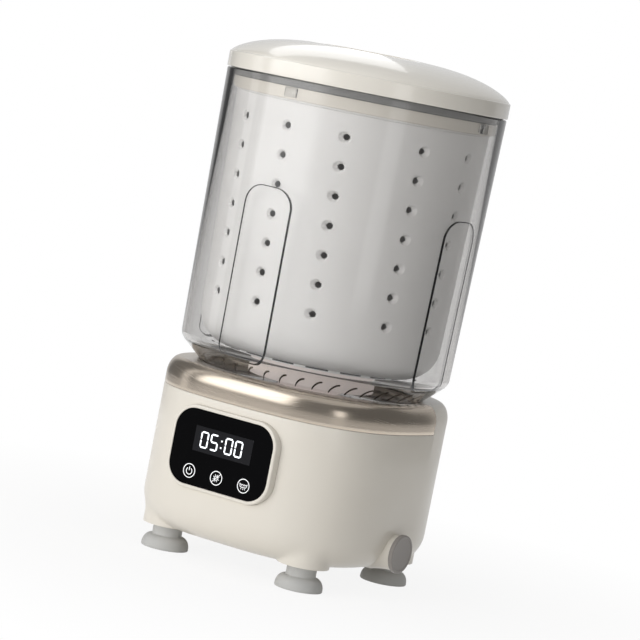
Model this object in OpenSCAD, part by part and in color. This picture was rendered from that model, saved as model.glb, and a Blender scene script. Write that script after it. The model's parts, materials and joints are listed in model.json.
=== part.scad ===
// Desk-top spin washer: a clear tub with a perforated drum stands on a squarish motor base
// with a timer panel, a side drain and suction feet. Z is up, the panel faces -Y, the drain +X.

/* [Base] */
// Half width of the base across its flat sides
base_half = 88.5; // [87:0.5:92]
// Squareness of the base's plan, where 2 is a circle
base_power = 2.75; // [2.6:0.05:3.1]
// Height of the plastic wall from the underside to the metal trim
base_h = 94; // [90:1:110]
// Wall thickness of the base
base_wall = 2.6; // [2:0.1:3.2]
// Radius of the rounding between the wall and the underside
base_round = 23; // [18:1:25]

/* [Trim] */
// Height of the trim's upright band
band_h = 7; // [5:0.5:10]
// Height of the trim's rounded shoulder
shoulder_h = 12; // [9:0.5:15]
// How far the shoulder draws in at the top
shoulder_in = 8; // [6:0.5:8]
// Thickness of the trim's sheet metal
trim_t = 0.8; // [0.6:0.1:1]
// Half of the angle that the trim wraps, measured from the panel
trim_half_angle = 106; // [95:1:130]

/* [Feet] */
// Height of the underside above the table
foot_h = 16; // [14:0.5:20]
// Radius of a suction cup's lip
cup_r = 16; // [13:0.5:17]
// Radius of a foot's neck
foot_neck_r = 10; // [8:0.5:11]
// Distance of the feet from the centre line
foot_ring_r = 77; // [76.5:0.5:79]
// Radius of the posts that carry the feet
post_r = 17.5; // [15:0.5:18]

/* [Tub] */
// Outer radius of the tub at its rim
tub_r = 95; // [93:0.5:98]
// Height of the tub from its floor to its rim
tub_h = 204; // [180:1:240]
// Wall thickness of the tub
tub_wall = 3; // [2:0.1:3.5]
// How much smaller the tub's radius is at the bottom of its straight wall
tub_draft = 3.2; // [1:0.1:5]
// Outer radius of the tub's neck, which stands in the base
neck_r = 74.5; // [70:0.5:74.5]
// Steepness of the tub's cone above the neck, in degrees
cone_angle = 42; // [36:1:46]
// Radius of the rounding between the cone and the wall
tub_round = 9; // [6:0.5:12]
// Number of swirl ribs on the cone
rib_count = 22; // [16:1:26]
// Width of each long grip panel
grip_w = 38; // [28:1:44]
// Height of each long grip panel
grip_h = 115; // [80:1:130]
// Depth of the grip panels
grip_depth = 0.8; // [0.4:0.1:1]

/* [Drum] */
// Gap between the drum's rim and the tub's wall
drum_gap = 5.4; // [5:0.1:8]
// How much smaller the drum's radius is at its bottom
drum_draft = 4.6; // [2:0.1:6]
// Wall thickness of the drum
drum_wall = 2.2; // [1.6:0.1:2.8]
// Radius of the rounding around the drum's floor
drum_round = 23; // [16:1:26]
// Angle from a side's middle column of holes to its outer ones
hole_spread = 27; // [20:1:32]
// Height from one row of holes to the next
hole_pitch = 19.3; // [14:0.1:24]
// Radius of each hole
hole_r = 2.1; // [1.2:0.1:2.4]
// Radius of the hub below the drum
hub_r = 43; // [40:1:48]

/* [Lid] */
// Overhang of the lid past the tub's rim
lid_overhang = 0.5; // [0:0.1:2]
// Height of the lid
lid_h = 27; // [24:0.5:32]
// Height of the lid's upright skirt
lid_skirt_h = 10.8; // [8:0.1:12]
// Wall thickness of the lid
lid_wall = 2.4; // [1.8:0.1:3]
// Radius of the two grip pockets
pocket_r = 44; // [36:1:50]
// Depth of the two grip pockets
pocket_depth = 9; // [6:0.5:10]
// Half width of the grip bar between the pockets
grip_bar_half = 9; // [7:0.5:14]

/* [Panel] */
// Width of the black panel glass
glass_w = 77; // [72:1:80]
// Height of the black panel glass
glass_h = 50; // [44:1:54]
// Corner radius of the panel glass
glass_r = 14; // [8:0.5:18]
// Width of the raised frame around the glass
frame_border = 2.5; // [2:0.1:3.5]
// Width of the timer's window
window_w = 46; // [42:1:52]
// Height of the timer's window
window_h = 17; // [16:0.5:19]
// Height of a timer digit
digit_h = 11; // [8:0.5:12]
// Distance from one touch key to the next
key_pitch = 21.7; // [18:0.1:24]

/* [Drain] */
// Height of the drain's centre above the underside
drain_rise = 15; // [14:0.5:18]
// Outer radius of the drain spout
spout_r = 12; // [11:0.5:13]
// Radius of the drain cap
cap_r = 13; // [12.5:0.5:14]
// Thickness of the drain cap's disc
cap_t = 3; // [2:0.5:4]

/* [Drive] */
// Radius of the drive shaft
shaft_r = 4; // [3:0.25:4.5]
// Outer radius of the ball bearings
bearing_r = 11; // [9:0.5:11.5]
// Width of the ball bearings
bearing_w = 7; // [5:0.5:8]
// Radius of the motor
motor_r = 27; // [22:0.5:30]
// Length of the motor
motor_h = 40; // [30:1:42]

/* [Hidden] */
$fn = 96;
tiny = 0.01;
slack = 0.15;          // between pieces that are fitted together
run_fit = 0.05;        // between a turning shaft and what it runs in
plan_steps = 72;
face_angles = [0, 90, 180, 270];
corner_angles = [45, 135, 225, 315];
panel_angle = 270;

// Heights, from the table up
z_base = foot_h;
z_band = z_base + base_h;
z_shoulder = z_band + band_h;
z_deck = z_shoulder + shoulder_h;
well_depth = 10;
seat_floor_t = 3;
z_well = z_deck - well_depth;
z_seat = z_well - seat_floor_t;
gasket_t = 1.5;
gasket_w = 14;
z_tub = z_well + gasket_t;
z_floor = z_tub + tub_wall;
z_rim = z_tub + tub_h;
drum_lift = 18.5;
z_drum = z_floor + drum_lift;
drum_drop = 11.5;
z_drum_top = z_rim - drum_drop;
lid_gap = 0.5;
z_lid = z_rim + lid_gap;

// Tub and seat
well_gap = 1;
well_r = neck_r + well_gap;
seat_t = 1.2;
seat_rim_gap = 0.3;
opening_r = well_r + seat_t + 0.2;
tub_low_r = tub_r - tub_draft;
z_cone = z_deck - 1.8;
z_seat_rim = z_cone + well_gap * tan(cone_angle) - seat_rim_gap;
round_r_c = tub_low_r - tub_round;
round_reach = tub_round * cos(90 - cone_angle);
round_drop = tub_round * sin(90 - cone_angle);
z_round = z_cone + (round_r_c + round_reach - neck_r) * tan(cone_angle) + round_drop;
lug_w = 9;
lug_h = 6;
lug_proud = 1.5;
z_lug = z_rim - 11.5;
rib_t = 1.2;
rib_h = 2.4;
rib_skew = 20;
rib_l = 12;
grip_end_r = grip_w / 2;
z_grip = z_cone + 12;

// Drum
drum_top_r = tub_r - tub_wall - drum_gap;
drum_low_r = drum_top_r - drum_draft;
drum_floor_t = 3;
drum_foot_r = drum_low_r - drum_round;
drum_foot_h = 3;
lip_out = 1.4;
lip_h = 3;
first_row = 36.5;
last_row_gap = 18;
hole_rows = floor((z_drum_top - z_drum - first_row - last_row_gap) / hole_pitch) + 1;
hole_turn = -1.5;       // the holes are moulded from four sides

// Drive train
flange_t = 4;
screw_r = 1.25;
housing_screw_out = 14;
housing_screw_bite = 2.4;
housing_screw_head_r = 3;
housing_screw_head_h = 2.2;
flange_r = 36;
housing_r = bearing_r + 3;
housing_top = z_floor + 10.5;
bearing_fit = 0.02;
seal_h = 7;
seal_top = housing_top - 1;
upper_bearing_z = seal_top - seal_h - bearing_w - 1;
nut_h = 6;
nut_r = 22;
hub_skirt_h = 14;
hub_plate_t = 3;
hub_boss_r = shaft_r + 5;
hub_boss_drop = 7;
hub_wall = 2.5;
clip_t = 1;
motor_clear = 7.7;
motor_plate_t = 2.5;
motor_low = z_base + base_wall + motor_clear;
motor_top = motor_low + motor_h;
coupling_r = 9;
coupling_h = 14;
coupling_gap = 3;
coupling_low = motor_top + motor_plate_t + coupling_gap;
coupling_top = coupling_low + coupling_h;
shaft_split = coupling_top - coupling_h / 2;
set_screw_r = 1.5;
set_screw_up = 3.5;
housing_low = coupling_top + 2.2;
lower_bearing_z = housing_low + 0.5;
motor_wall = 1.5;
motor_shaft_r = 2.5;
motor_bush_r = 5;
standoff_r = 3.5;
standoff_ring_r = 31;
motor_plate_r = 38;
magnet_t = 3.4;
magnet_gap = 0.1;
magnet_rise = 7;
magnet_short = 16;
rotor_gap = 1;
pulsator_r = 46;
pulsator_h = 7;
vane_count = 6;
vane_h = 7;
cap_nut_r = 7;
cap_nut_h = 8;
pulsator_top = z_drum + drum_floor_t + pulsator_h;
hub_screw_ring = 34;

// Base fittings
seat_pillar_r = 6;
seat_pillar_ring = 68;
seat_screw_l = 10;
seat_screw_head_r = 3.2;
seat_screw_head_h = 1.45;
seat_screw_r = 1.6;
bottom_r = 57.8;
bottom_lip_r = 62;
bottom_lip_in = 50;
bottom_lip_t = 3.4;
bottom_t = base_wall;
bottom_screw_ring = 54;
bottom_screw_sink = 1.2;
bottom_screw_l = 4.2;
bottom_screw_head_r = 2.9;
pilot_r = 1.3;         // bores that self-tapping screws cut their thread in
pilot_l = 9;
vent_count = 10;
vent_ring = 36;
vent_w = 3;
vent_l = 18;
foot_stem_r = 5;
foot_stem_h = 10;
cup_h = 8;
post_h = base_round + 8;

// Lid
lid_r = tub_r + lid_overhang;
lid_dome_r = lid_r - 1;
lid_crease = 1.5;
liner_t = 2;
liner_wall = 2.6;
liner_r = tub_r - tub_wall - lug_proud - 0.3;
liner_drop = 9.4;
z_liner = z_lid + 2;
lid_gasket_fit = 0.25;
lid_gasket_drop = 5;
lid_gasket_r = tub_r - tub_wall - lid_gasket_fit;

// Panel
panel_proud = 2.5;
panel_y = -(base_half + panel_proud);
panel_drop = 33;
panel_z = z_band - panel_drop;
panel_x = -1;
frame_depth = 11;
frame_w = glass_w + 2 * frame_border;
frame_h = glass_h + 2 * frame_border;
frame_r = glass_r + frame_border;
frame_flange = 3;
frame_flange_t = 2;
glass_t = 1.6;
glass_set = 0.3;
glass_fit = 0.2;
board_margin = 4.5;
board_t = 1.6;
display_t = 6;
window_up = 6.1;
window_x = 0.3;
digits_x = -1.2;
keys_down = 16;
key_pad_r = 4;
digit_w = 0.56 * digit_h;
digit_step = 0.71 * digit_h;
colon_gap = 0.34 * digit_h;
segment_t = 0.095 * digit_h;
segment_proud = 0.1;
board_y = panel_y + glass_set + glass_t + display_t + 2 * slack;

// Drain
drain_z = z_base + drain_rise;
drain_face = base_half + 7;
spout_face = drain_face - cap_t - 0.1;
spout_bore = 8.5;
plug_l = 8;
outlet_r = 6;
outlet_bore = 4.5;
outlet_l = 14;
hose_wall = 2;
hose_bend = 10;
hose_clip_w = 4;
spout_root = base_half - 14;   // where the spout's boss starts, inside the fillet
spout_bore_l = 10;
nipple_l = 8;
outlet_ring = spout_root - nipple_l - hose_bend - 0.5;
hose_end = spout_root - 0.3;
hose_top = z_seat - 0.5;

// Power supply
jack_z = z_base + 42;
jack_r = 5.5;
jack_flange_r = 7.5;
jack_l = 12;
jack_bore = 3.1;
jack_bore_l = 8;
power_w = 64;
power_h = 50;
power_y = base_half - 16.5;
power_post_x = 26;
power_post_z = 18;
power_post_r = 3;
can_r = 5;             // the two smoothing capacitors
can_h = 12;
can_x = 2;
can_step = 12;
relay_size = [14, 8, 12];
relay_at = [8, -8, -16];
bridge_size = [18, 6, 10];
bridge_at = [-22, -6, 6];
choke_size = [14, 9, 14];
choke_at = [4, -9, 4];
lamp_r = 6;
lamp_ring = 52;
lead_r = 1.2;

// ---- shared shapes ----

// Distance from the centre line to the base's side wall at plan angle p
function plan_r(p) =
    base_half / pow(pow(abs(cos(p)), base_power) + pow(abs(sin(p)), base_power), 1 / base_power);

function plan_ring(inset, z) = [for (i = [0:plan_steps - 1])
    let (p = 360 * i / plan_steps, r = plan_r(p) - inset) [r * cos(p), r * sin(p), z]];

// A solid on the base's plan, from levels of [inset from the wall, height], lowest first
module plan_loft(levels) {
    n = plan_steps;
    top = (len(levels) - 1) * n;
    polyhedron(
        points = [for (l = levels) each plan_ring(l[0], l[1])],
        faces = concat(
            [[for (i = [0:n - 1]) i], [for (i = [n - 1:-1:0]) top + i]],
            [for (k = [0:len(levels) - 2], i = [0:n - 1])
                let (j = (i + 1) % n) [k * n + i, (k + 1) * n + i, (k + 1) * n + j]],
            [for (k = [0:len(levels) - 2], i = [0:n - 1])
                let (j = (i + 1) % n) [k * n + i, (k + 1) * n + j, k * n + j]]));
}

// Levels of the rounded underside and the wall, drawn in by inset, up to height z_end
function wall_levels(inset, z_end) = concat(
    [for (a = [0:15:90]) [inset + (base_round - inset) * (1 - sin(a)),
        z_base + inset + (base_round - inset) * (1 - cos(a))]],
    [[inset, z_end]]);

// Levels of the shoulder, drawn in by inset, from its foot up
function shoulder_levels(inset) = [for (a = [0:15:90])
    [inset + shoulder_in * (1 - cos(a)), z_shoulder + (shoulder_h - inset) * sin(a)]];

// A wedge of half angle half_a about the direction of angle mid_a
module sector(mid_a, half_a, z0, h) {
    reach = 2 * base_half;
    steps = 8;
    translate([0, 0, z0]) linear_extrude(h) polygon(concat([[0, 0]],
        [for (i = [0:steps]) let (a = mid_a - half_a + 2 * half_a * i / steps) reach * [cos(a), sin(a)]]));
}

module ring(r_out, r_in, h) {
    difference() {
        cylinder(r = r_out, h = h);
        translate([0, 0, -1]) cylinder(r = r_in, h = h + 2);
    }
}

module around(ring_r, angles) {
    for (a = angles) rotate([0, 0, a]) translate([ring_r, 0, 0]) children();
}

// A rounded rectangle on the XZ plane, d deep in +Y from y
module plate_xz(w, h, r, y, d) {
    translate([0, y + d, 0]) rotate([90, 0, 0]) linear_extrude(d) {
        square([w - 2 * r, h], center = true);
        square([w, h - 2 * r], center = true);
        for (sx = [-1, 1], sz = [-1, 1]) translate([sx * (w / 2 - r), sz * (h / 2 - r)]) circle(r);
    }
}

// A cross-head screw with its head down
module screw(r, l, head_r, head_h) {
    difference() {
        union() {
            cylinder(r = r, h = l);
            translate([0, 0, -head_h]) cylinder(r = head_r, h = head_h);
        }
        for (a = [0, 90]) rotate([0, 0, a])
            translate([-head_r * 0.6, -head_r * 0.12, -head_h - tiny])
                cube([head_r * 1.2, head_r * 0.24, head_h * 0.5]);
    }
}

// ---- base ----

module drain_boss() {
    translate([0, 0, drain_z]) rotate([0, 90, 0]) {
        translate([0, 0, spout_root]) cylinder(r = spout_r, h = spout_face - spout_root);
        translate([0, 0, spout_root - nipple_l]) cylinder(r = outlet_r, h = nipple_l + 1);
    }
}

module drain_bores() {
    translate([0, 0, drain_z]) rotate([0, 90, 0]) {
        translate([0, 0, spout_face - spout_bore_l]) cylinder(r = spout_bore, h = spout_bore_l + 1);
        translate([0, 0, spout_root - nipple_l - 1])
            cylinder(r = outlet_bore, h = spout_face - spout_root + nipple_l);
    }
}

module power_posts() {
    for (sx = [-1, 1], sz = [-1, 1])
        translate([sx * power_post_x, power_y + board_t + 0.05, jack_z + sz * power_post_z])
            rotate([-90, 0, 0]) cylinder(r = power_post_r, h = base_half - power_y - board_t - 2);
}

module base_shell() {
    core = trim_t + slack;
    z_pillar = z_base + foot_stem_h + 3;
    color("#e9e5dc") difference() {
        union() {
            difference() {
                plan_loft(concat(wall_levels(0, z_shoulder - 1), shoulder_levels(0)));
                difference() {
                    sector(panel_angle, trim_half_angle, z_band, z_deck);
                    plan_loft(concat([[core, z_band - 5], [core, z_shoulder - 1]], shoulder_levels(core)));
                }
                plan_loft(concat(wall_levels(base_wall, z_shoulder),
                    [for (l = shoulder_levels(core + base_wall)) if (l[1] > z_shoulder + 1) l]));
            }
            around(foot_ring_r, corner_angles) translate([0, 0, z_base]) cylinder(r = post_r, h = post_h);
            around(seat_pillar_ring, corner_angles)
                translate([0, 0, z_pillar]) cylinder(r = seat_pillar_r, h = z_seat - z_pillar);
            translate([0, 0, z_base + 1]) ring(bottom_lip_r, bottom_lip_in, bottom_t + bottom_lip_t - 1);
            drain_boss();
            power_posts();
        }
        cylinder(r = bottom_r + slack, h = z_base + bottom_t);
        translate([0, 0, z_seat]) cylinder(r = opening_r, h = z_deck);
        around(bottom_screw_ring, face_angles) cylinder(r = pilot_r, h = z_base + bottom_t + 3);
        around(foot_ring_r, corner_angles) cylinder(r = foot_stem_r + slack, h = z_base + foot_stem_h + 1);
        around(seat_pillar_ring, corner_angles)
            translate([0, 0, z_seat - pilot_l]) cylinder(r = pilot_r, h = z_deck);
        drain_bores();
        translate([panel_x, 0, panel_z])
            plate_xz(frame_w + 2 * slack, frame_h + 2 * slack, frame_r + slack, panel_y, frame_depth + 6);
        translate([0, 0, jack_z]) rotate([-90, 0, 0]) cylinder(r = jack_r + slack, h = 2 * base_half);
    }
}

module trim_ring() {
    color("#b5a999") difference() {
        intersection() {
            plan_loft(concat([[0, z_band + slack]], shoulder_levels(0)));
            sector(panel_angle, trim_half_angle - slack, z_band, z_deck);
        }
        plan_loft(concat([[trim_t, z_band - 1]], shoulder_levels(trim_t)));
        cylinder(r = opening_r, h = 2 * z_deck);
    }
}

module tub_seat() {
    color("#9a8f80") difference() {
        translate([0, 0, z_seat]) cylinder(r = well_r + seat_t, h = z_seat_rim - z_seat);
        translate([0, 0, z_well]) cylinder(r = well_r, h = z_deck);
        cylinder(r = housing_r + slack, h = z_deck);
        translate([outlet_ring, 0, 0]) cylinder(r = outlet_r + slack, h = z_deck);
        translate([0, lamp_ring, 0]) cylinder(r = lamp_r + slack, h = z_deck);
        around(seat_pillar_ring, corner_angles) {
            cylinder(r = seat_screw_r + slack, h = z_deck);
            translate([0, 0, z_well - 1.6]) cylinder(r1 = seat_screw_r, r2 = 3.4, h = 1.6 + tiny);
        }
        around(bearing_r + housing_screw_out, corner_angles) cylinder(r = pilot_r, h = z_deck);
    }
}

module seat_screws() {
    color("#8d8d8d") around(seat_pillar_ring, corner_angles) translate([0, 0, z_well - seat_screw_l]) {
        cylinder(r = screw_r, h = seat_screw_l);
        translate([0, 0, seat_screw_l - seat_screw_head_h])
            cylinder(r1 = screw_r, r2 = seat_screw_head_r, h = seat_screw_head_h);
    }
}

module bottom_cover() {
    color("#dcd7cd") difference() {
        translate([0, 0, z_base]) cylinder(r = bottom_r, h = bottom_t - 0.05);
        around(bottom_screw_ring, face_angles) cylinder(r = 1.6, h = 2 * z_base + 10);
        around(bottom_screw_ring, face_angles)
            translate([0, 0, z_base - 1])
                cylinder(r = bottom_screw_head_r + 0.3, h = bottom_screw_sink + 1.05);
        for (i = [0:vent_count - 1]) rotate([0, 0, 360 * (i + 0.5) / vent_count])
            translate([vent_ring - vent_l / 2, -vent_w / 2, 0]) cube([vent_l, vent_w, 2 * z_base + 10]);
    }
}

module bottom_screws() {
    color("#8d8d8d") around(bottom_screw_ring, face_angles) translate([0, 0, z_base + bottom_screw_sink])
        screw(screw_r, bottom_screw_l, bottom_screw_head_r, bottom_screw_sink - 0.1);
}

module suction_feet() {
    color("#8f8f8f") around(foot_ring_r, corner_angles) difference() {
        rotate_extrude() polygon([
            [0, 3.4], [cup_r * 0.5, 3], [cup_r - 1.6, 0.4], [cup_r - 1, 0], [cup_r, 0], [cup_r, 1],
            [cup_r * 0.93, 3], [cup_r * 0.8, 5], [cup_r * 0.77, 6.4], [cup_r * 0.66, cup_h],
            [foot_neck_r, cup_h], [foot_neck_r, z_base], [foot_stem_r, z_base],
            [foot_stem_r, z_base + foot_stem_h], [0, z_base + foot_stem_h]]);
        translate([0, 0, cup_h]) cylinder(r = 2.1, h = z_base + foot_stem_h);
    }
}

module foot_bolts() {
    color("#8d8d8d") around(foot_ring_r, corner_angles)
        translate([0, 0, cup_h + 0.5]) cylinder(r = 2, h = z_base + foot_stem_h - cup_h - 0.5);
}

// ---- control panel ----

module panel_frame() {
    window = board_margin * 2;
    color("#ece8e0") translate([panel_x, 0, panel_z]) difference() {
        union() {
            plate_xz(frame_w, frame_h, frame_r, panel_y, frame_depth);
            plate_xz(frame_w + 2 * frame_flange, frame_h + 2 * frame_flange, frame_r + frame_flange,
                panel_y + frame_depth, frame_flange_t);
        }
        plate_xz(glass_w + 2 * glass_fit, glass_h + 2 * glass_fit, glass_r + glass_fit,
            panel_y - 1, 1 + glass_set + glass_t + 0.1);
        plate_xz(glass_w - window, glass_h - window, glass_r - board_margin, panel_y - 1, frame_depth + 4);
    }
}

module panel_glass() {
    color("#0b0b0c") translate([panel_x, 0, panel_z]) difference() {
        plate_xz(glass_w, glass_h, glass_r, panel_y + glass_set, glass_t);
        translate([window_x - window_w / 2, panel_y, window_up - window_h / 2]) cube([window_w, 5, window_h]);
    }
}

module timer_display() {
    w = window_w - 2 * slack;
    h = window_h - 2 * slack;
    color("#303134")
        translate([panel_x + window_x - w / 2, panel_y + glass_set, panel_z + window_up - h / 2])
            cube([w, glass_t + display_t + slack, h]);
}

// One bar of a seven-segment digit: 0 top, 1 middle, 2 bottom, 3 and 4 left, 5 and 6 right
module segment(i) {
    flat = digit_w - 1.3 * segment_t;
    tall = (digit_h - 1.6 * segment_t) / 2;
    half = (digit_h - segment_t) / 2;
    side = (digit_w - segment_t) / 2;
    if (i < 3) translate([0, (1 - i) * half]) square([flat, segment_t], center = true);
    else translate([(i < 5 ? -1 : 1) * side, (i % 2 == 1 ? 1 : -1) * half / 2])
        square([segment_t, tall - 0.4 * segment_t], center = true);
}

module digit(bars, x) {
    translate([x, 0]) for (i = bars) segment(i);
}

module timer_digits() {
    zero = [0, 2, 3, 4, 5, 6];
    five = [0, 1, 2, 3, 6];
    first_x = -1.5 * digit_step - colon_gap / 2;
    color("#f4f6f8") translate([panel_x + window_x + digits_x, panel_y + glass_set, panel_z + window_up])
        rotate([90, 0, 0]) linear_extrude(segment_proud) {
            digit(zero, first_x);
            digit(five, first_x + digit_step);
            digit(zero, first_x + 2 * digit_step + colon_gap);
            digit(zero, first_x + 3 * digit_step + colon_gap);
            for (s = [-1, 1]) translate([0, s * digit_h / 5]) square(segment_t, center = true);
        }
}

module touch_pads() {
    color("#2c2c2e") for (i = [-1, 0, 1])
        translate([panel_x + i * key_pitch, panel_y + glass_set + glass_t + 0.05, panel_z - keys_down])
            rotate([-90, 0, 0]) cylinder(r = key_pad_r, h = board_y - panel_y - glass_set - glass_t - 0.1);
}

module control_board() {
    inner = 2 * board_margin + 1;
    color("#1f6b3a") translate([panel_x, 0, panel_z])
        plate_xz(glass_w - inner, glass_h - inner, glass_r - board_margin - 0.5, board_y, board_t);
}

// ---- power supply ----

module power_board() {
    color("#1f6b3a") difference() {
        translate([-power_w / 2, power_y, jack_z - power_h / 2]) cube([power_w, board_t, power_h]);
        for (sx = [-1, 1], sz = [-1, 1]) translate([sx * power_post_x, 0, jack_z + sz * power_post_z])
            rotate([-90, 0, 0]) cylinder(r = pilot_r, h = 2 * base_half);
    }
}

module board_parts() {
    color("#3a3d42") translate([0, power_y, jack_z]) {
        for (k = [0, 1]) translate([-can_x - k * can_step, 0, -can_step / 1.5])
            rotate([90, 0, 0]) cylinder(r = can_r, h = can_h);
        translate(relay_at) cube(relay_size);
        translate(bridge_at) cube(bridge_size);
        translate(choke_at) cube(choke_size);
    }
}

module power_jack() {
    color("#1c1c1e") translate([0, 0, jack_z]) rotate([-90, 0, 0]) difference() {
        union() {
            translate([0, 0, base_half - jack_l]) cylinder(r = jack_r, h = jack_l);
            translate([0, 0, base_half]) cylinder(r = jack_flange_r, h = 1.5);
        }
        translate([0, 0, base_half - jack_bore_l]) cylinder(r = jack_bore, h = 2 * jack_bore_l);
    }
}

module jack_nut() {
    color("#9b9b9b") translate([0, 0, jack_z]) rotate([-90, 0, 0])
        translate([0, 0, base_half - base_wall - 2.3]) difference() {
            cylinder(r = jack_flange_r, h = 2.2, $fn = 6);
            translate([0, 0, -1]) cylinder(r = jack_r + tiny, h = 5);
        }
}

module steriliser_lamp() {
    color("#c9d6ee") translate([0, lamp_ring, 0]) {
        translate([0, 0, z_seat - 3]) cylinder(r = lamp_r + 2, h = 3);
        translate([0, 0, z_seat]) cylinder(r = lamp_r, h = seat_floor_t - 0.3);
    }
}

// Direction of a route at its point i
function route_dir(route, i) =
    let (into = i > 0 ? route[i] - route[i - 1] : route[1] - route[0],
        out = i < len(route) - 1 ? route[i + 1] - route[i] : into,
        sum = into / norm(into) + out / norm(out))
    sum / norm(sum);

// A round lead along a list of points, whose rings turn about the direction side
module lead(route, side) {
    n = 8;
    last = (len(route) - 1) * n;
    polyhedron(
        points = [for (i = [0:len(route) - 1])
            let (d = route_dir(route, i), c = cross(d, side), u = c / norm(c), v = cross(d, u))
            for (k = [0:n - 1]) route[i] + lead_r * (cos(360 * k / n) * u + sin(360 * k / n) * v)],
        faces = concat(
            [[for (k = [0:n - 1]) k], [for (k = [n - 1:-1:0]) last + k]],
            [for (i = [0:len(route) - 2], k = [0:n - 1])
                let (j = (k + 1) % n) [i * n + k, (i + 1) * n + k, (i + 1) * n + j]],
            [for (i = [0:len(route) - 2], k = [0:n - 1])
                let (j = (k + 1) % n) [i * n + k, (i + 1) * n + j, i * n + j]]));
}

module wiring() {
    low_z = jack_z - power_h / 2 + 4;
    high_z = jack_z + power_h / 2 - 3;
    turn_y = power_y - 4;
    side_x = motor_r + 9;
    plug_x = power_w / 2 - 3;
    color("#b23a34") {
        for (x = [-motor_r / 4, motor_r / 4]) lead([
            [x, power_y, low_z], [x, turn_y, low_z], [x, motor_r + 12, low_z - 4],
            [x, motor_r - 2, motor_low - 4.5],
            [x, motor_r / 2, motor_low - 4.5], [x, motor_r / 2, motor_low]], [1, 0, 0]);
        lead([
            [plug_x, power_y, jack_z], [plug_x, turn_y, jack_z],
            [side_x, motor_r, jack_z], [side_x, -motor_r, jack_z],
            [side_x - 10, board_y + 12, panel_z], [side_x - 10, board_y + board_t, panel_z]], [0, 0, 1]);
        lead([
            [lamp_r / 2, lamp_ring, z_seat - 3], [lamp_r / 2, lamp_ring, z_seat - 12],
            [lamp_r / 2, turn_y, high_z], [lamp_r / 2, power_y, high_z]], [1, 0, 0]);
    }
}

// ---- tub ----

// The tub's outline from its neck to its rim, drawn in by d
function tub_outline(d) = concat(
    [[neck_r - d, z_cone + (d - d * sin(cone_angle)) / cos(cone_angle)]],
    [for (a = [cone_angle - 90:(90 - cone_angle) / 6:0])
        [round_r_c + (tub_round - d) * cos(a), z_round + (tub_round - d) * sin(a)]],
    [[tub_r - d, z_rim]]);

function reversed(list) = [for (i = [len(list) - 1:-1:0]) list[i]];

module swirl_ribs() {
    r0 = neck_r + 2.5;
    d = tub_wall + 0.4;
    z0 = z_cone + (d - d * sin(cone_angle)) / cos(cone_angle) + (r0 - neck_r + d) * tan(cone_angle);
    around(r0, [for (i = [0:rib_count - 1]) 360 * i / rib_count])
        translate([0, 0, z0 - rib_h]) rotate([0, -cone_angle, rib_skew])
            translate([0, -rib_t / 2, 0]) cube([rib_l, rib_t, rib_h + 1]);
}

module grip_panels() {
    intersection() {
        rotate_extrude() polygon(concat(tub_outline(grip_depth), [[2 * tub_r, z_rim], [2 * tub_r, z_cone]]));
        for (a = face_angles) rotate([0, 0, a + 90]) translate([0, 0, z_grip]) rotate([90, 0, 0])
            linear_extrude(2 * tub_r) {
                translate([0, grip_end_r]) circle(grip_end_r);
                translate([-grip_end_r, grip_end_r]) square([grip_w, grip_h - grip_w]);
                translate([0, grip_h - grip_end_r]) circle(grip_end_r);
            }
    }
}

module outer_tub() {
    hole = housing_r + slack;
    color([0.85, 0.87, 0.88, 0.35]) difference() {
        union() {
            rotate_extrude() polygon(concat(
                [[hole, z_floor], [hole, z_tub], [neck_r, z_tub]], tub_outline(0),
                reversed(tub_outline(tub_wall)), [[neck_r - tub_wall, z_floor]]));
            intersection() {
                swirl_ribs();
                rotate_extrude() polygon(concat([[neck_r - tub_wall, z_floor]], tub_outline(tub_wall - 1),
                    [[neck_r - tub_wall, z_rim]]));
            }
            for (a = face_angles) rotate([0, 0, a]) intersection() {
                translate([tub_r - tub_wall - lug_proud, -lug_w / 2, z_lug]) cube([tub_wall, lug_w, lug_h]);
                translate([0, 0, z_lug]) cylinder(r = tub_r - 1, h = lug_h);
            }
            translate([outlet_ring, 0, z_tub - outlet_l]) cylinder(r = outlet_r, h = outlet_l + 1);
        }
        grip_panels();
        translate([outlet_ring, 0, 0]) cylinder(r = outlet_bore, h = z_floor + 5);
    }
}

module tub_gasket() {
    color("#6d6d6d") translate([0, 0, z_well]) ring(housing_r + gasket_w, housing_r + slack, gasket_t);
}

module clamp_nut() {
    color("#c9c6c0") translate([0, 0, z_floor]) difference() {
        cylinder(r = nut_r, h = nut_h, $fn = 8);
        translate([0, 0, -1]) cylinder(r = housing_r + 0.02, h = nut_h + 2);
    }
}

// ---- drive ----

module bearing_housing() {
    color("#b9bbbd") difference() {
        union() {
            translate([0, 0, housing_low]) cylinder(r = housing_r, h = housing_top - housing_low);
            translate([0, 0, z_seat - flange_t]) cylinder(r = flange_r, h = flange_t);
        }
        cylinder(r = bearing_r - 1.5, h = 2 * z_deck);
        cylinder(r = bearing_r + bearing_fit, h = lower_bearing_z + bearing_w);
        translate([0, 0, upper_bearing_z]) cylinder(r = bearing_r + bearing_fit, h = z_deck);
        around(bearing_r + housing_screw_out, corner_angles) cylinder(r = 1.8, h = z_deck);
        around(standoff_ring_r, face_angles) cylinder(r = 1.5, h = z_deck);
    }
}

module housing_screws() {
    color("#8d8d8d") around(bearing_r + housing_screw_out, corner_angles)
        translate([0, 0, z_seat - flange_t])
            screw(screw_r, flange_t + housing_screw_bite, housing_screw_head_r, housing_screw_head_h);
}

module bearing(z) {
    translate([0, 0, z]) difference() {
        cylinder(r = bearing_r, h = bearing_w);
        translate([0, 0, -1]) cylinder(r = shaft_r + run_fit, h = bearing_w + 2);
        for (face = [-0.6, bearing_w - 0.6])
            translate([0, 0, face]) ring(bearing_r - 1.6, shaft_r + 1.8, 1.2);
    }
}

module upper_bearing() {
    color("#a9adb2") bearing(upper_bearing_z);
}

module lower_bearing() {
    color("#a9adb2") bearing(lower_bearing_z);
}

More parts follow.
